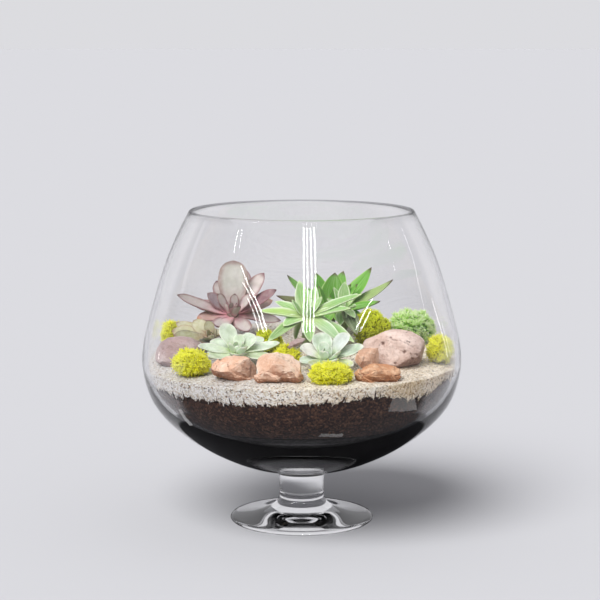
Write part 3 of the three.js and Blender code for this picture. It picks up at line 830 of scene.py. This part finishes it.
def spray(seed, branches, length, thickness, spread):
    """A tuft: branches of three sides that rise from one spot and bend outwards."""
    draw = seeded_draws(seed)
    points, faces, reach = [], [], []
    for k in range(branches):
        turn = math.radians(GOLDEN_ANGLE * k + draw(-25, 25))
        lean = spread * draw(0.25, 1.0) * (0.3 if k == 0 else 1)
        tall = length * draw(0.7, 1.15)
        first = len(points)
        for share, width, out in ((0, 1.0, 0), (0.72, 0.8, 0.6)):
            middle = np.array([math.cos(turn), math.sin(turn), 0]) * tall * lean * out
            middle[2] = tall * share * (1 - 0.3 * lean * share)
            for corner in range(3):
                angle = turn + math.tau * corner / 3
                shift = np.array([math.cos(angle), math.sin(angle), 0]) * thickness * width
                points.append(middle + shift)
                reach.append(share)
        points.append(middle + np.array([math.cos(turn) * lean, math.sin(turn) * lean, 1]) * tall * 0.14)
        reach.append(1.0)
        faces += ring_faces(2, 3, first)
        faces += [(first + 3 + j, first + 3 + (j + 1) % 3, first + 6) for j in range(3)]
    return points, faces, reach


def moss_finish(name, deep, body, tip):
    """Moss that lets light in, deep in colour at the foot of each tuft and bright at its tips: the deep foot
    is partly the colour of old stems and partly painted shade.
    """
    finish = Finish(name, Roughness=0.8, Subsurface_Weight=0.5, Subsurface_Scale=0.003,
                    Subsurface_Radius=(1.0, 1.0, 0.3), Specular_IOR_Level=0.1)
    reach, shade = finish.mark("reach"), finish.mark("shade")
    patch = finish.grain(0.006, 2.0)
    # Partly painted shade: darker towards the foot of each tuft and on the core
    light = reach * 0.9 + shade * 0.5 + patch * 0.2 - 0.12
    finish.set("Base Color", finish.ramp(light, [(0.0, deep), (0.45, body), (0.85, tip)]))
    finish.bumps((finish.grain(0.0005, 2.0), 0.0002))
    return finish


def moss_clump(node, finish, group, tree, spacing, largest, sink, seed):
    """The node's own form as a dark core, and tufts over it. The core's dark is partly the colour of old
    stems and partly painted shade between the tufts.
    """
    points, normals, faces = refined(node, 3, 4)
    spots = points / MM
    lift = -sink + 0.35 * lumps(spots + seed, 4.0, 2)
    middle = Vector(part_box(node)[0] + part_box(node)[1]) / 2
    # Tufts grow thinly on the underside
    above = smoothstep(points[:, 2], middle.z - 0.010, middle.z - 0.004)
    core = new_piece("core", points + normals * (lift * MM)[:, None], faces, grow=0.35 + 0.65 * above,
                     reach=np.zeros(len(points)), shade=np.full(len(points), 0.3))
    made = tree.run(core, node.replace("moss", "tufts"), Copies=group, Spacing=spacing * MM, Smallest=0.6,
                    Largest=largest, Lean=0.75, Where="grow", Seed=seed, Finish=finish.material)
    bpy.data.objects.remove(core)
    made.data.shade_smooth()
    stands_for(made, node)


def moss():
    """Seven clumps of short yellow tufts, two of them deeper in colour, and one of taller green ones."""
    yellow = moss_finish("yellow_moss", rgb(146, 136, 0), rgb(255, 255, 4), rgb(255, 255, 80))
    lime = moss_finish("lime_moss", rgb(64, 68, 0), rgb(206, 216, 6), rgb(236, 244, 60))
    green = moss_finish("green_moss", rgb(36, 88, 22), rgb(168, 232, 84), rgb(234, 255, 184))
    tree = scatter_tree("strewn_tufts", keep_base=True)
    short = copies_of("short_tuft", [spray(seed, 5, 4.2 * MM, 0.38 * MM, 1.3) for seed in (2, 9, 23, 31)])
    for k, node in enumerate(sorted(n for n in frame["nodes"] if n.startswith("moss"))):
        if node != "moss_green":
            finish = lime if node in ("moss_behind_boulder", "moss_middle") else yellow
            moss_clump(node, finish, short, tree, 1.48, 1.3, 1.7, 3 + k)
    drop_copies(short)
    tall = copies_of("tall_tuft", [spray(seed, 6, 5.4 * MM, 0.4 * MM, 1.2) for seed in (4, 12, 27, 39)])
    moss_clump("moss_green", green, tall, tree, 1.85, 1.3, 2.6, 50)
    drop_copies(tall)


# Succulents. A leaf lists its tip from the heart in x, y and z, its width, its bend in degrees, and its
# form where that isn't the plant's own.

LEAF_FOOT = 3
PLANT_STEM_RADIUS = 4
LEAF_ROWS = 28
LEAF_SIDES = 20
LEAF_FORMS = {   # outline as share of length and share of width, then cup and thickness
    "broad": (
        [(0, 0.42), (0.3, 0.74), (0.62, 1), (0.84, 0.8), (0.94, 0.5), (0.985, 0.17), (1, 0)], 0.12, 3.4),
    "pointed": (
        [(0, 0.42), (0.3, 0.76), (0.58, 1), (0.78, 0.84), (0.91, 0.48), (1, 0)], 0.12, 3.4),
    "lance": (
        [(0, 0.5), (0.25, 0.84), (0.5, 1), (0.8, 0.6), (0.93, 0.26), (1, 0)], 0.16, 3.0),
    "paddle": (
        [(0, 0.36), (0.28, 0.74), (0.58, 1), (0.8, 0.9), (0.93, 0.6), (0.985, 0.2), (1, 0)], 0.08, 3.0),
}
ROSETTES = {
    "rosette_purple": {
        "heart": (-67, 48, 189), "lean": (0, -0.55, 1), "form": "pointed", "core": 7,
        "leaves": [
            (1, 14, 48, 30, -6, "paddle"), (-18, 24, 28, 18, 0), (-25, 4, 19, 17, 12),
            (-54, -12, 20, 16, 16), (-34, -16, -2, 17, 14), (31, 16, 36, 19, 4), (43, 2, 22, 16, 10),
            (39, 22, 9, 17, 10), (47, 8, -8, 16, 10), (16, -24, -14, 17, 20), (-14, -30, -8, 18, 24),
            (12, 30, 38, 22, 0), (-40, 22, 8, 17, 8), (10, 42, 10, 18, 10)],
        "inner": {"count": 6, "first": 20, "tilt": (42, 74), "length": (27, 14), "width": (14, 7)},
    },
    "rosette_olive": {
        "heart": (-85, 8, 172), "lean": (-0.2, -0.9, 1), "form": "pointed", "core": 5,
        "leaves": [
            (-39, 8, 6, 18, 6), (-36, -9, 4, 14, 6), (-36, 20, 12, 13, 8), (-18, 14, 15, 15, 6),
            (8, 12, 5, 12, 6), (-8, -14, -2, 13, 14)],
        "inner": {"count": 4, "first": 100, "tilt": (44, 72), "length": (17, 10), "width": (10, 6)},
    },
    "rosette_mint_left": {
        "heart": (-59, -42, 167), "lean": (0, -0.35, 1), "form": "broad", "core": 6,
        "leaves": [
            (-13, 10, 25, 18, -4), (16, 6, 15, 20, 0), (2, 16, 14, 18, 0), (-36, -2, 6, 15, 8),
            (-26, -16, -2, 18, 10), (39, 2, 8, 14, 8), (31, -14, -3, 15, 10), (2, -24, 2, 17, 20),
            (22, 24, 10, 16, 8), (-24, 22, 8, 16, 8)],
        "inner": {"count": 5, "first": -60, "tilt": (40, 74), "length": (19, 10), "width": (12, 7)},
    },
    "rosette_mint_right": {
        "heart": (22, -65, 165), "lean": (0, -0.35, 1), "form": "broad", "core": 6,
        "leaves": [
            (-5, 12, 22, 19, -4), (20, 8, 22, 17, -2), (-23, 2, 11, 19, 4), (34, 2, 11, 18, 4),
            (-24, -10, -1, 16, 8), (24, -15, -4, 14, 10), (-14, -20, -3, 15, 12), (6, -22, 2, 15, 18),
            (10, 28, 10, 16, 8), (-22, 22, 8, 16, 8)],
        "inner": {"count": 5, "first": -30, "tilt": (40, 76), "length": (18, 10), "width": (12, 7)},
    },
    "rosette_green": {
        "heart": (4, 10, 192), "lean": (0, -0.4, 1), "form": "lance", "core": 6,
        "leaves": [
            (-44, -6, 6, 15, -8), (-7, 12, 32, 15, 0), (10, 20, 25, 14, 0), (53, 0, 21, 13, -10),
            (42, -12, 9, 13, -14), (34, -30, -22, 15, -30), (-21, -16, -7, 16, -24),
            (-36, -26, -20, 14, -16), (-30, 26, 10, 14, -10), (6, 36, 4, 14, -14),
            (46, -18, -22, 15, -20), (4, -28, -20, 13, -24), (-10, 14, -24, 13, -20), (30, 24, -14, 14, -20)],
        "inner": {"count": 5, "first": 30, "tilt": (42, 76), "length": (24, 12), "width": (10, 6)},
    },
    "rosette_green_offset": {
        "heart": (40, 32, 197), "lean": (0, -0.3, 1), "form": "lance", "core": 4,
        "leaves": [
            (1, 4, 24, 12, 0), (-9, 2, 19, 8, 0), (13, -2, 14, 9, 0), (-16, 0, 8, 9, 0), (12, -10, 3, 9, -6),
            (-8, -12, 2, 9, -6), (2, 14, 12, 9, 0), (12, -32, -21, 15, -24), (10, -26, -6, 9, -10),
            (-4, -24, -14, 11, -20), (-14, 10, -8, 10, -12)],
        "inner": {"count": 3, "first": 60, "tilt": (50, 74), "length": (13, 9), "width": (7, 5)},
    },
    "rosette_bright": {
        "heart": (29, 74, 188), "lean": (0.1, -0.45, 1), "form": "lance", "core": 7,
        "leaves": [
            (-43, 2, 34, 14, 36), (-16, 8, 35, 18, 16), (3, 2, 36, 24, 0), (13, 12, 36, 18, 6),
            (26, -4, 26, 12, 16), (40, 4, 41, 20, 46), (61, -4, 31, 14, 34), (-54, 2, 14, 15, 14),
            (44, 24, 14, 15, 6), (8, 36, 18, 16, 6), (-26, 30, 18, 15, 6), (30, -16, -2, 15, 6),
            (-22, -14, 4, 14, 10), (48, -18, 12, 14, 14),
            (-8, -24, -10, 13, -10), (16, -24, -14, 13, -12), (-26, -18, -16, 14, -14)],
        "inner": {"count": 5, "first": 30, "tilt": (52, 80), "length": (32, 18), "width": (12, 7)},
    },
}
# Colours as seen, 0 to 255, of each plant's stem and of its leaves at the root, on the blade, at the margin
# and at the tip, what single leaves have of their own, where the margin starts across the half leaf, and
# how much pale bloom or how many pale lines show
LEAF_COLOURS = {
    "rosette_purple": {
        "root": (216, 152, 160), "blade": (192, 180, 175), "margin": (142, 98, 100),
        "tip": (112, 66, 70), "stem": (120, 96, 84), "band": 0.55, "pale": 0.14,
        "single": {
            0: {"root": (174, 150, 146), "blade": (190, 186, 178), "margin": (156, 130, 124),
                "tip": (138, 112, 108)},
            2: {"blade": (140, 122, 126)},
            4: {"blade": (190, 152, 142), "tip": (216, 150, 112)},
            6: {"blade": (138, 104, 108), "tip": (78, 40, 44)},
            7: {"blade": (218, 184, 172), "margin": (206, 160, 146), "tip": (204, 150, 130)},
        },
    },
    "rosette_olive": {
        "root": (150, 124, 94), "blade": (190, 186, 150), "margin": (168, 150, 118),
        "tip": (140, 106, 84), "stem": (110, 96, 70), "band": 0.7, "pale": 0.2,
        "single": {
            1: {"blade": (150, 150, 112), "margin": (110, 98, 70)},
            # Leaf 5, low at the front, is near-black: painted shade under the rosette
            5: {"blade": (74, 80, 58), "margin": (66, 62, 46), "root": (60, 58, 42)},
        },
    },
    # The mints' roots are darker and yellower than their blades: partly their own colour, partly painted
    # shade towards the heart
    "rosette_mint_left": {
        "root": (182, 202, 138), "blade": (212, 226, 200), "margin": (236, 242, 224),
        "tip": (224, 226, 208), "stem": (140, 156, 110), "band": 0.8, "pale": 0.32,
        "single": {
            4: {"blade": (198, 212, 176)}, 6: {"blade": (200, 214, 172)}},
    },
    "rosette_mint_right": {
        "root": (172, 194, 128), "blade": (204, 222, 196), "margin": (236, 242, 226),
        "tip": (226, 228, 212), "stem": (140, 156, 110), "band": 0.8, "pale": 0.32,
        "single": {
            1: {"blade": (214, 222, 214)}, 2: {"blade": (222, 220, 208), "margin": (238, 232, 222)},
            5: {"blade": (196, 208, 146)}, 6: {"blade": (196, 208, 146)}},
    },
    "rosette_green": {
        "root": (172, 196, 122), "blade": (138, 180, 106), "margin": (238, 246, 222),
        "tip": (204, 222, 172), "stem": (128, 144, 92), "band": 0.72, "pale": 0.5,
        "single": {
            0: {"blade": (176, 208, 118)}, 5: {"blade": (162, 194, 146)},
            7: {"blade": (122, 156, 90), "margin": (176, 198, 140)}},
    },
    "rosette_green_offset": {
        "root": (168, 194, 122), "blade": (148, 188, 118), "margin": (236, 244, 218),
        "tip": (204, 222, 174), "stem": (122, 138, 88), "band": 0.72, "pale": 0.5,
        "single": {
            7: {"blade": (92, 108, 74), "margin": (128, 132, 96), "root": (100, 110, 74),
                "tip": (110, 98, 70)}},
    },
    "rosette_bright": {
        "root": (142, 186, 92), "blade": (104, 164, 56), "margin": (160, 200, 104),
        "tip": (84, 46, 46), "stem": (110, 122, 66), "band": 0.88, "pale": 0.2,
        "single": {
            6: {"blade": (150, 172, 108), "margin": (176, 186, 140)},
            7: {"blade": (104, 104, 66), "root": (90, 78, 56), "margin": (120, 110, 76)}},
    },
}
WAXY = ("rosette_purple", "rosette_olive", "rosette_mint_left", "rosette_mint_right")
HAIRY = ("rosette_green", "rosette_green_offset")


def rosette_axes(rosette):
    """The way the plant leans, and two ways across it."""
    axis = Vector(rosette["lean"]).normalized()
    right = (Vector((1, 0, 0)) - axis * axis.x).normalized()
    return axis, right, axis.cross(right)


def inner_leaves(rosette):
    """The young leaves round the heart, by the golden angle, and a few smaller ones within them."""
    rule, extra = rosette["inner"], 4
    axis, right, back = rosette_axes(rosette)
    leaves = []
    for k in range(rule["count"] + extra):
        share = k / (rule["count"] - 1)
        size = 1.0 if share <= 1 else 0.82 ** (k - rule["count"] + 1)
        share = min(share, 1)
        turn = math.radians(rule["first"] + GOLDEN_ANGLE * k)
        rise = math.radians(np.interp(share, (0, 1), rule["tilt"]))
        reach = size * np.interp(share, (0, 1), rule["length"])
        flat = right * math.cos(turn) + back * math.sin(turn)
        tip = (flat * math.cos(rise) + axis * math.sin(rise)) * reach
        leaves.append((*tip, size * np.interp(share, (0, 1), rule["width"]), 10))
    return leaves


def leaf_section(form, width, share, turn, draw):
    """How far sideways and upwards a leaf's corners lie: cupped above, keeled below and slightly wavy."""
    outline, cup, thickness = LEAF_FORMS[form]
    run = smooth_run(outline, 8)
    half = width / 2 * np.interp(share, run[:, 0], np.clip(run[:, 1], 0, 1.02))
    thick = thickness * min(1, width / 12) * (1 - 0.35 * share) * np.sqrt(1 - share ** 8)
    cos, sin = np.cos(turn), np.sin(turn)
    sway = draw(-1, 1) * 0.05 * width * share ** 2
    wave = 0.05 * half * np.abs(cos) ** 3 * np.sin(math.tau * (1.6 * share + draw()) + 2 * np.sign(cos))
    upwards = cup * half * cos ** 2 * 1.6 + wave
    channel = 0.10 * half * np.exp(-((cos / 0.16) ** 2)) * smoothstep(share, 0.1, 0.4) * (1 - share)
    above, below = 0.16 * thick * sin - channel, thick * sin * (1 - 0.5 * cos ** 2)
    return half * cos + sway, upwards + np.where(sin > 0, above, below)


def leaf_surface(rosette, leaf, draw):
    """Points, faces, share along and place across one leaf, which bends evenly from the heart to its tip."""
    dx, dy, dz, width, bend_angle = leaf[:5]
    heart, axis = np.array(rosette["heart"]), rosette_axes(rosette)[0]
    tip = Vector((dx, dy, dz))
    out = (tip - axis * tip.dot(axis)).normalized()
    side = axis.cross(out)
    across, rise = tip.dot(out) - LEAF_FOOT, tip.dot(axis)
    bend = math.radians(bend_angle or 0.1)
    start = math.atan2(rise, across) - bend / 2
    radius = math.hypot(across, rise) / (2 * math.sin(bend / 2))
    share = (1 - (1 - np.linspace(0, 1, LEAF_ROWS)) ** 1.5)[:-1, None]
    turn = even_turns(LEAF_SIDES)
    form = leaf[5] if len(leaf) > 5 else rosette["form"]
    sideways, upwards = leaf_section(form, width, share, turn, draw)
    angle = start + bend * share
    along = LEAF_FOOT + radius * (np.sin(angle) - math.sin(start)) - upwards * np.sin(angle)
    above = radius * (math.cos(start) - np.cos(angle)) + upwards * np.cos(angle)
    points = (heart + along[..., None] * np.array(out)
              + above[..., None] * np.array(axis) + sideways[..., None] * np.array(side))
    rows = points.shape[0]
    points = np.vstack([points.reshape(-1, 3), heart + np.array(tip), points[0].mean(0)])
    faces = ring_faces(rows, LEAF_SIDES)
    last = (rows - 1) * LEAF_SIDES
    for j in range(LEAF_SIDES):
        k = (j + 1) % LEAF_SIDES
        faces += [(last + j, last + k, rows * LEAF_SIDES), (rows * LEAF_SIDES + 1, k, j)]
    shares = np.append(np.repeat(share, LEAF_SIDES, 1).ravel(), [1, 0])
    sides = np.append(np.broadcast_to(np.cos(turn), (rows, LEAF_SIDES)).ravel(), [1, 0])
    return points, faces, shares, sides


def blended(colours, share, margin):
    """Root to blade to tip along the leaf, and to the margin across it."""
    def towards(tint, title, amount):
        return tint + (np.array([rgb(*colours[title])]) - tint) * amount[:, None]

    tint = towards(np.array([rgb(*colours["root"])]), "blade", smoothstep(share, 0.05, 0.55))
    band = smoothstep(margin, colours["band"], 0.98) * smoothstep(share, 0.1, 0.4)
    return towards(towards(tint, "margin", band), "tip", smoothstep(share, 0.86, 0.99))


def heart_and_stem(rosette, colours):
    """The short stem and the knob that the leaves grow from."""
    x, y, z = rosette["heart"]
    core = rosette["core"]
    foot = float(sand_top(x, y)) - STEM_DEPTH
    knob = [(core * math.sin(a), z - core / 3 - core * math.cos(a)) for a in np.linspace(0.7, np.pi, 10)]
    rows = [(0, foot), (PLANT_STEM_RADIUS, foot), (PLANT_STEM_RADIUS * 0.9, (foot + z) / 2)] + knob
    points, faces = turned(rows, 20)
    points = points + np.array([x, y, 0])
    tint = np.repeat([rgb(*colours["stem"])], len(points), 0)
    return points, faces, tint


def leaf_finish(name, waxy, pale):
    """A waxy leaf with a powdery bloom, or a green one with fine pale lines along it."""
    finish = Finish(name, Subsurface_Weight=0.12, Subsurface_Scale=0.004,
                    Subsurface_Radius=(0.6, 1.0, 0.4))
    tint = finish.mark("tint", "Color")
    patch = finish.grain(0.007, 3.0)
    if waxy:
        bloom = finish.grain(0.0035, 4.0, 0.65, 0.6).between(0.38, 0.7)
        dim = (1 - patch.between(0.35, 0.6)) * pale * 1.2
        colour = finish.mix(dim, tint, rgb(150, 160, 138), "MULTIPLY")
        finish.set("Base Color", finish.mix(bloom * pale, colour, rgb(232, 236, 230)))
        finish.set("Roughness", 0.5 + bloom * 0.2)
        finish.bumps((patch, 0.0004), (finish.grain(0.0008, 2.0), 0.00006))
        return finish
    lines = finish.node("ShaderNodeCombineXYZ", None, {
        0: finish.mark("across") * 0.03, 1: finish.mark("along") * 0.004, 2: finish.mark("shade")})
    streak = finish.grain(0.0022, 2.0, 0.5, 0.0, lines.outputs[0])
    colour = finish.mix(streak.between(0.42, 0.68) * pale, tint, rgb(222, 234, 196))
    colour = finish.mix(patch.between(0.45, 0.75) * 0.25, colour, rgb(70, 110, 44), "SOFT_LIGHT")
    finish.set("Base Color", colour)
    finish.set("Roughness", 0.62 + streak * 0.15)
    finish.bumps((streak, 0.0003), (finish.grain(0.0005, 2.0), 0.0001))
    return finish


def succulent(name, rosette, finish):
    """A plant as one piece: stem, heart and leaves, each leaf with a shade of its own."""
    draw = seeded_draws(sum(map(ord, name)))
    colours = LEAF_COLOURS[name]
    points, faces, tint = heart_and_stem(rosette, colours)
    pieces = [(points, faces, np.zeros(len(points)), np.zeros(len(points)), tint, 0.5)]
    for k, leaf in enumerate(rosette["leaves"] + inner_leaves(rosette)):
        points, faces, share, sides = leaf_surface(rosette, leaf, draw)
        own = {**colours, **colours["single"].get(k, {})}
        tint = blended(own, share, np.abs(sides)) * np.array([draw(0.9, 1.08)] * 3 + [1])
        pieces.append((points, faces, share, sides, tint, draw()))
    start, all_faces = 0, []
    for points, faces, *_ in pieces:
        all_faces += [tuple(corner + start for corner in face) for face in faces]
        start += len(points)
    stacked = [np.concatenate([part[k] for part in pieces]) for k in (0, 2, 3, 4)]
    shade = np.concatenate([np.full(len(part[0]), part[5]) for part in pieces])
    points, share, sides, tint = stacked
    fringe = smoothstep(np.abs(sides), 0.86, 0.98) * 0.85 + 0.15 * (share > 0.1)
    made = new_piece(name.replace("rosette", "leaves"), points * MM, all_faces, finish, along=share,
                     across=sides, tint=tint, shade=shade, fringe=fringe)
    stands_for(made, name)
    return made


def leaf_hairs(leaves):
    """Short pale hairs on a furry leaf, thick along its margins."""
    corners = np.array([(0.06, 0, 0), (-0.03, 0.05, 0), (-0.03, -0.05, 0), (0.05, 0, 1.1)]) * MM
    group = copies_of("hair", [(corners, [(0, 1, 3), (1, 2, 3), (2, 0, 3)], [0, 0, 0, 1])])
    finish = Finish("pale_hair", Base_Color=rgb(222, 234, 204), Roughness=0.7)
    tree = scatter_tree("strewn_hairs", keep_base=False)
    made = tree.run(leaves, leaves.name.replace("leaves", "hairs"), Copies=group, Spacing=0.62 * MM,
                    Smallest=0.5, Largest=1.1, Lean=0.5, Where="fringe", Seed=7, Finish=finish.material)
    drop_copies(group)
    rides_along(made)


def succulents():
    """All the plants, and hairs on the two furry ones."""
    for name, rosette in ROSETTES.items():
        finish = leaf_finish(name.replace("rosette", "leaf"), name in WAXY, LEAF_COLOURS[name]["pale"])
        made = succulent(name, rosette, finish)
        if name in HAIRY:
            leaf_hairs(made)


# The studio: floor, backdrop and lights

BACKDROP = (0.715, 0.715, 0.742, 1)
CEILING = (0.66, 0.65, 0.70, 1)           # what the gloss of the glass shows to the front, from above down
ROOM = (0.23, 0.225, 0.25, 1)
DARK_FLOOR = (0.06, 0.059, 0.064, 1)
AMBIENT = 0.46                            # the backdrop's light on the floor
SUN_SHARE = 0.92                          # the lamp's light on the floor
FLOOR_RADIUS, FLOOR_DEPTH = 90000, 10     # in millimetres
STRIP_DISTANCE = 3.0
WINDOW_PANES = [(1.2, 2.4, 0.060), (3.6, 6.2, 0.034), (6.0, 10.5, 0.040), (8.4, 15.0, 0.050)]
STRIPS = [   # lamps that show in the glass as streaks: azimuths and elevations, width and strength
    ("left_slant", [(-26, 20.5), (-35.5, 23.6), (-45, 26.7), (-57, 31.5)], 0.026, 26),
    ("left_slant_second", [(-28, 20), (-41, 24), (-51, 27)], 0.020, 24),
    ("left_slant_third", [(-32, 20), (-44, 23.5)], 0.016, 22),
    ("right_slant", [(41, 19.4), (51.5, 20.7), (58, 21.4)], 0.016, 26),
    ("right_slant_second", [(43, 18.6), (55, 20)], 0.012, 22),
    ("left_glint", [(-72, 38.4), (-67.5, 33.5)], 0.02, 26),
    ("left_glint_second", [(-68, 40), (-64, 36)], 0.014, 22),
    ("left_veil", [(-118, 27), (-113, 18), (-109, 11)], 0.24, 0.6),
    ("right_edge", [(125, -5), (124, 1), (121, 7)], 0.05, 3.4),
    ("right_edge_second", [(131, -6), (127, 3)], 0.04, 2),
    ("right_streak", [(116.7, 23), (113, 17), (108.5, 13), (107, 9)], 0.035, 3.4),
    ("right_glint", [(93.4, 29.6), (91.2, 27.8)], 0.03, 8),
    ("right_glint_second", [(88.5, 24.6), (87, 22.5)], 0.02, 7),
    ("left_edge", [(-120, -6), (-120.5, -1)], 0.07, 4),
]
LOW_PANES = [   # lamps near the floor: place across and back, slant, width, length and strength
    ("low_patch", 0.289, -0.126, -23.6, 0.12, 0.105, 1.6),
    ("low_glint", 0.048, -0.14, 25, 0.014, 0.04, 1.8),
    ("left_wedge", -0.222, -0.014, 0, 0.018, 0.09, 1.6),
]
LENS, SENSOR_WIDTH = 108, 36
CAMERA_PLACE = (-0.0016, -1.671, 0.4506)
CAMERA_TILT = 8.22                        # degrees down


def mirrored(nodes):
    """1 for what shows in one plain reflection, 0 for what is seen straight, or deep in the glass."""
    depth = nodes.number(nodes.node("ShaderNodeLightPath"), "Glossy Depth")
    return depth.math("COMPARE", depth, 1.0, 0.5)


def studio_world():
    """A plain pale backdrop. In the gloss of the glass the room to the front is darker."""
    world = bpy.data.worlds.new("studio")
    world.use_nodes = True
    bpy.context.scene.world = world
    nodes = Nodes(world.node_tree)
    way = nodes.node("ShaderNodeTexCoord").outputs["Generated"]
    level = nodes.node("ShaderNodeVectorMath", {"operation": "MULTIPLY"}, {0: way, 1: (1, 1, 0)})
    unit = nodes.node("ShaderNodeVectorMath", {"operation": "NORMALIZE"}, {0: level.outputs[0]})
    in_front = 1 - nodes.axis(unit.outputs[0], 1).between(0.5, 0.66)
    raised = nodes.axis(way, 2).between(0.35, 0.75)
    colour = nodes.mix(mirrored(nodes) * in_front, BACKDROP, nodes.mix(raised, ROOM, CEILING))
    scattered = nodes.number(nodes.node("ShaderNodeLightPath"), "Is Diffuse Ray")
    background = nodes.tree.nodes["Background"].inputs
    nodes.plug(background["Color"], colour)
    nodes.plug(background["Strength"], 1 - scattered * (1 - AMBIENT / BACKDROP[0]))


def aimed(way, along=(0, 0, 1)):
    """The turn of a lamp that shines against the given way, with its height along another."""
    back = Vector(way).normalized()
    right = Vector(along).cross(back).normalized()
    return Matrix((right, back.cross(right), back)).transposed().to_euler()


def direction(azimuth, elevation):
    """A way out from the bowl: azimuth 0 is the front, and positive to the right, in degrees."""
    a, e = math.radians(azimuth), math.radians(elevation)
    return Vector((math.sin(a) * math.cos(e), -math.cos(a) * math.cos(e), math.sin(e)))


def sky_lamp(name, azimuth, elevation, strength, width):
    """A wide soft lamp, so far away that the floor has the same light all over."""
    light = bpy.data.lights.new(name, "SUN")
    light.energy = strength * math.pi / math.sin(math.radians(elevation))
    light.angle = math.radians(width)
    made = bpy.data.objects.new(name, light)
    made.rotation_euler = aimed(direction(azimuth, elevation))
    made.visible_camera = made.visible_transmission = made.visible_glossy = False
    bpy.context.scene.collection.objects.link(made)


def pane(name, place, turn, width, height, strength):
    """A flat lamp that shows only as a reflection."""
    light = bpy.data.lights.new(name, "AREA")
    light.shape = "RECTANGLE"
    light.size, light.size_y = width, height
    light.energy = strength * math.pi * width * height
    made = bpy.data.objects.new(name, light)
    made.location, made.rotation_euler = place, turn
    made.visible_camera = made.visible_transmission = made.visible_diffuse = False
    bpy.context.scene.collection.objects.link(made)


def strip(name, route, width, strength):
    """Narrow lamps that show in the glass as a streak, through the given azimuths and elevations."""
    heart = Vector((0, 0, 0.2))
    spots = [heart + direction(*stop) * STRIP_DISTANCE for stop in route]
    for low, high in zip(spots, spots[1:]):
        middle = (low + high) / 2
        pane(name, middle, aimed(middle - heart, high - low), width, (high - low).length, strength)


def floor():
    """A plain pale floor. In the gloss of the glass it is dark round the foot and in front."""
    pale = tuple(c / (AMBIENT + SUN_SHARE) for c in BACKDROP[:3]) + (1,)
    finish = Finish("floor", Roughness=1.0, Specular_IOR_Level=0.0)
    length = finish.node("ShaderNodeVectorMath", {"operation": "LENGTH"}, {0: finish.place})
    away = finish.number(length, "Value")
    front = 1 - finish.axis(finish.place, 1).between(-0.025, 0.0)
    dark = away.math("MAXIMUM", 1 - away.between(0.2, 0.215), front) * away.between(0.042, 0.06)
    finish.set("Base Color", finish.mix(mirrored(finish) * dark, pale, DARK_FLOOR))
    points, faces = turned([(0, -FLOOR_DEPTH), (FLOOR_RADIUS, -FLOOR_DEPTH), (FLOOR_RADIUS, 0), (0, 0)], 64)
    new_piece("floor", (points - np.array([0, 0, 0.2])) * MM, faces, finish, False)


def studio():
    """The room that the bowl stands in: a soft lamp from the left, and streaks of window light."""
    studio_world()
    floor()
    sky_lamp("sky", -32, 50, SUN_SHARE, 45)
    for k, (low, high, width) in enumerate(WINDOW_PANES):
        strip(f"window_{k}", [(low, 21), ((low + high) / 2, 29), (high, 51)], width, 24)
    for name, route, width, strength in STRIPS:
        strip(name, route, width, strength)
    for name, x, y, slant, width, length, strength in LOW_PANES:
        along = (math.cos(math.radians(slant)), math.sin(math.radians(slant)), 0)
        pane(name, (x, y, 0.01), aimed((0, 0, -1), along), width, length, strength)


def camera():
    """A long lens, a little above the planting."""
    view = bpy.data.cameras.new("camera")
    view.lens, view.sensor_width = LENS, SENSOR_WIDTH
    made = bpy.data.objects.new("camera", view)
    made.location = CAMERA_PLACE
    made.rotation_euler = (math.radians(90 - CAMERA_TILT), 0, 0)
    bpy.context.scene.collection.objects.link(made)
    bpy.context.scene.camera = made


bpy.context.scene.view_settings.view_transform = "Standard"
camera()
studio()
glass_bowl()
charcoal_layer()
soil_layer()
sand = sand_finish()
bed = sand_layer(sand)
sand_grains(bed, sand)
stones()
moss()
succulents()
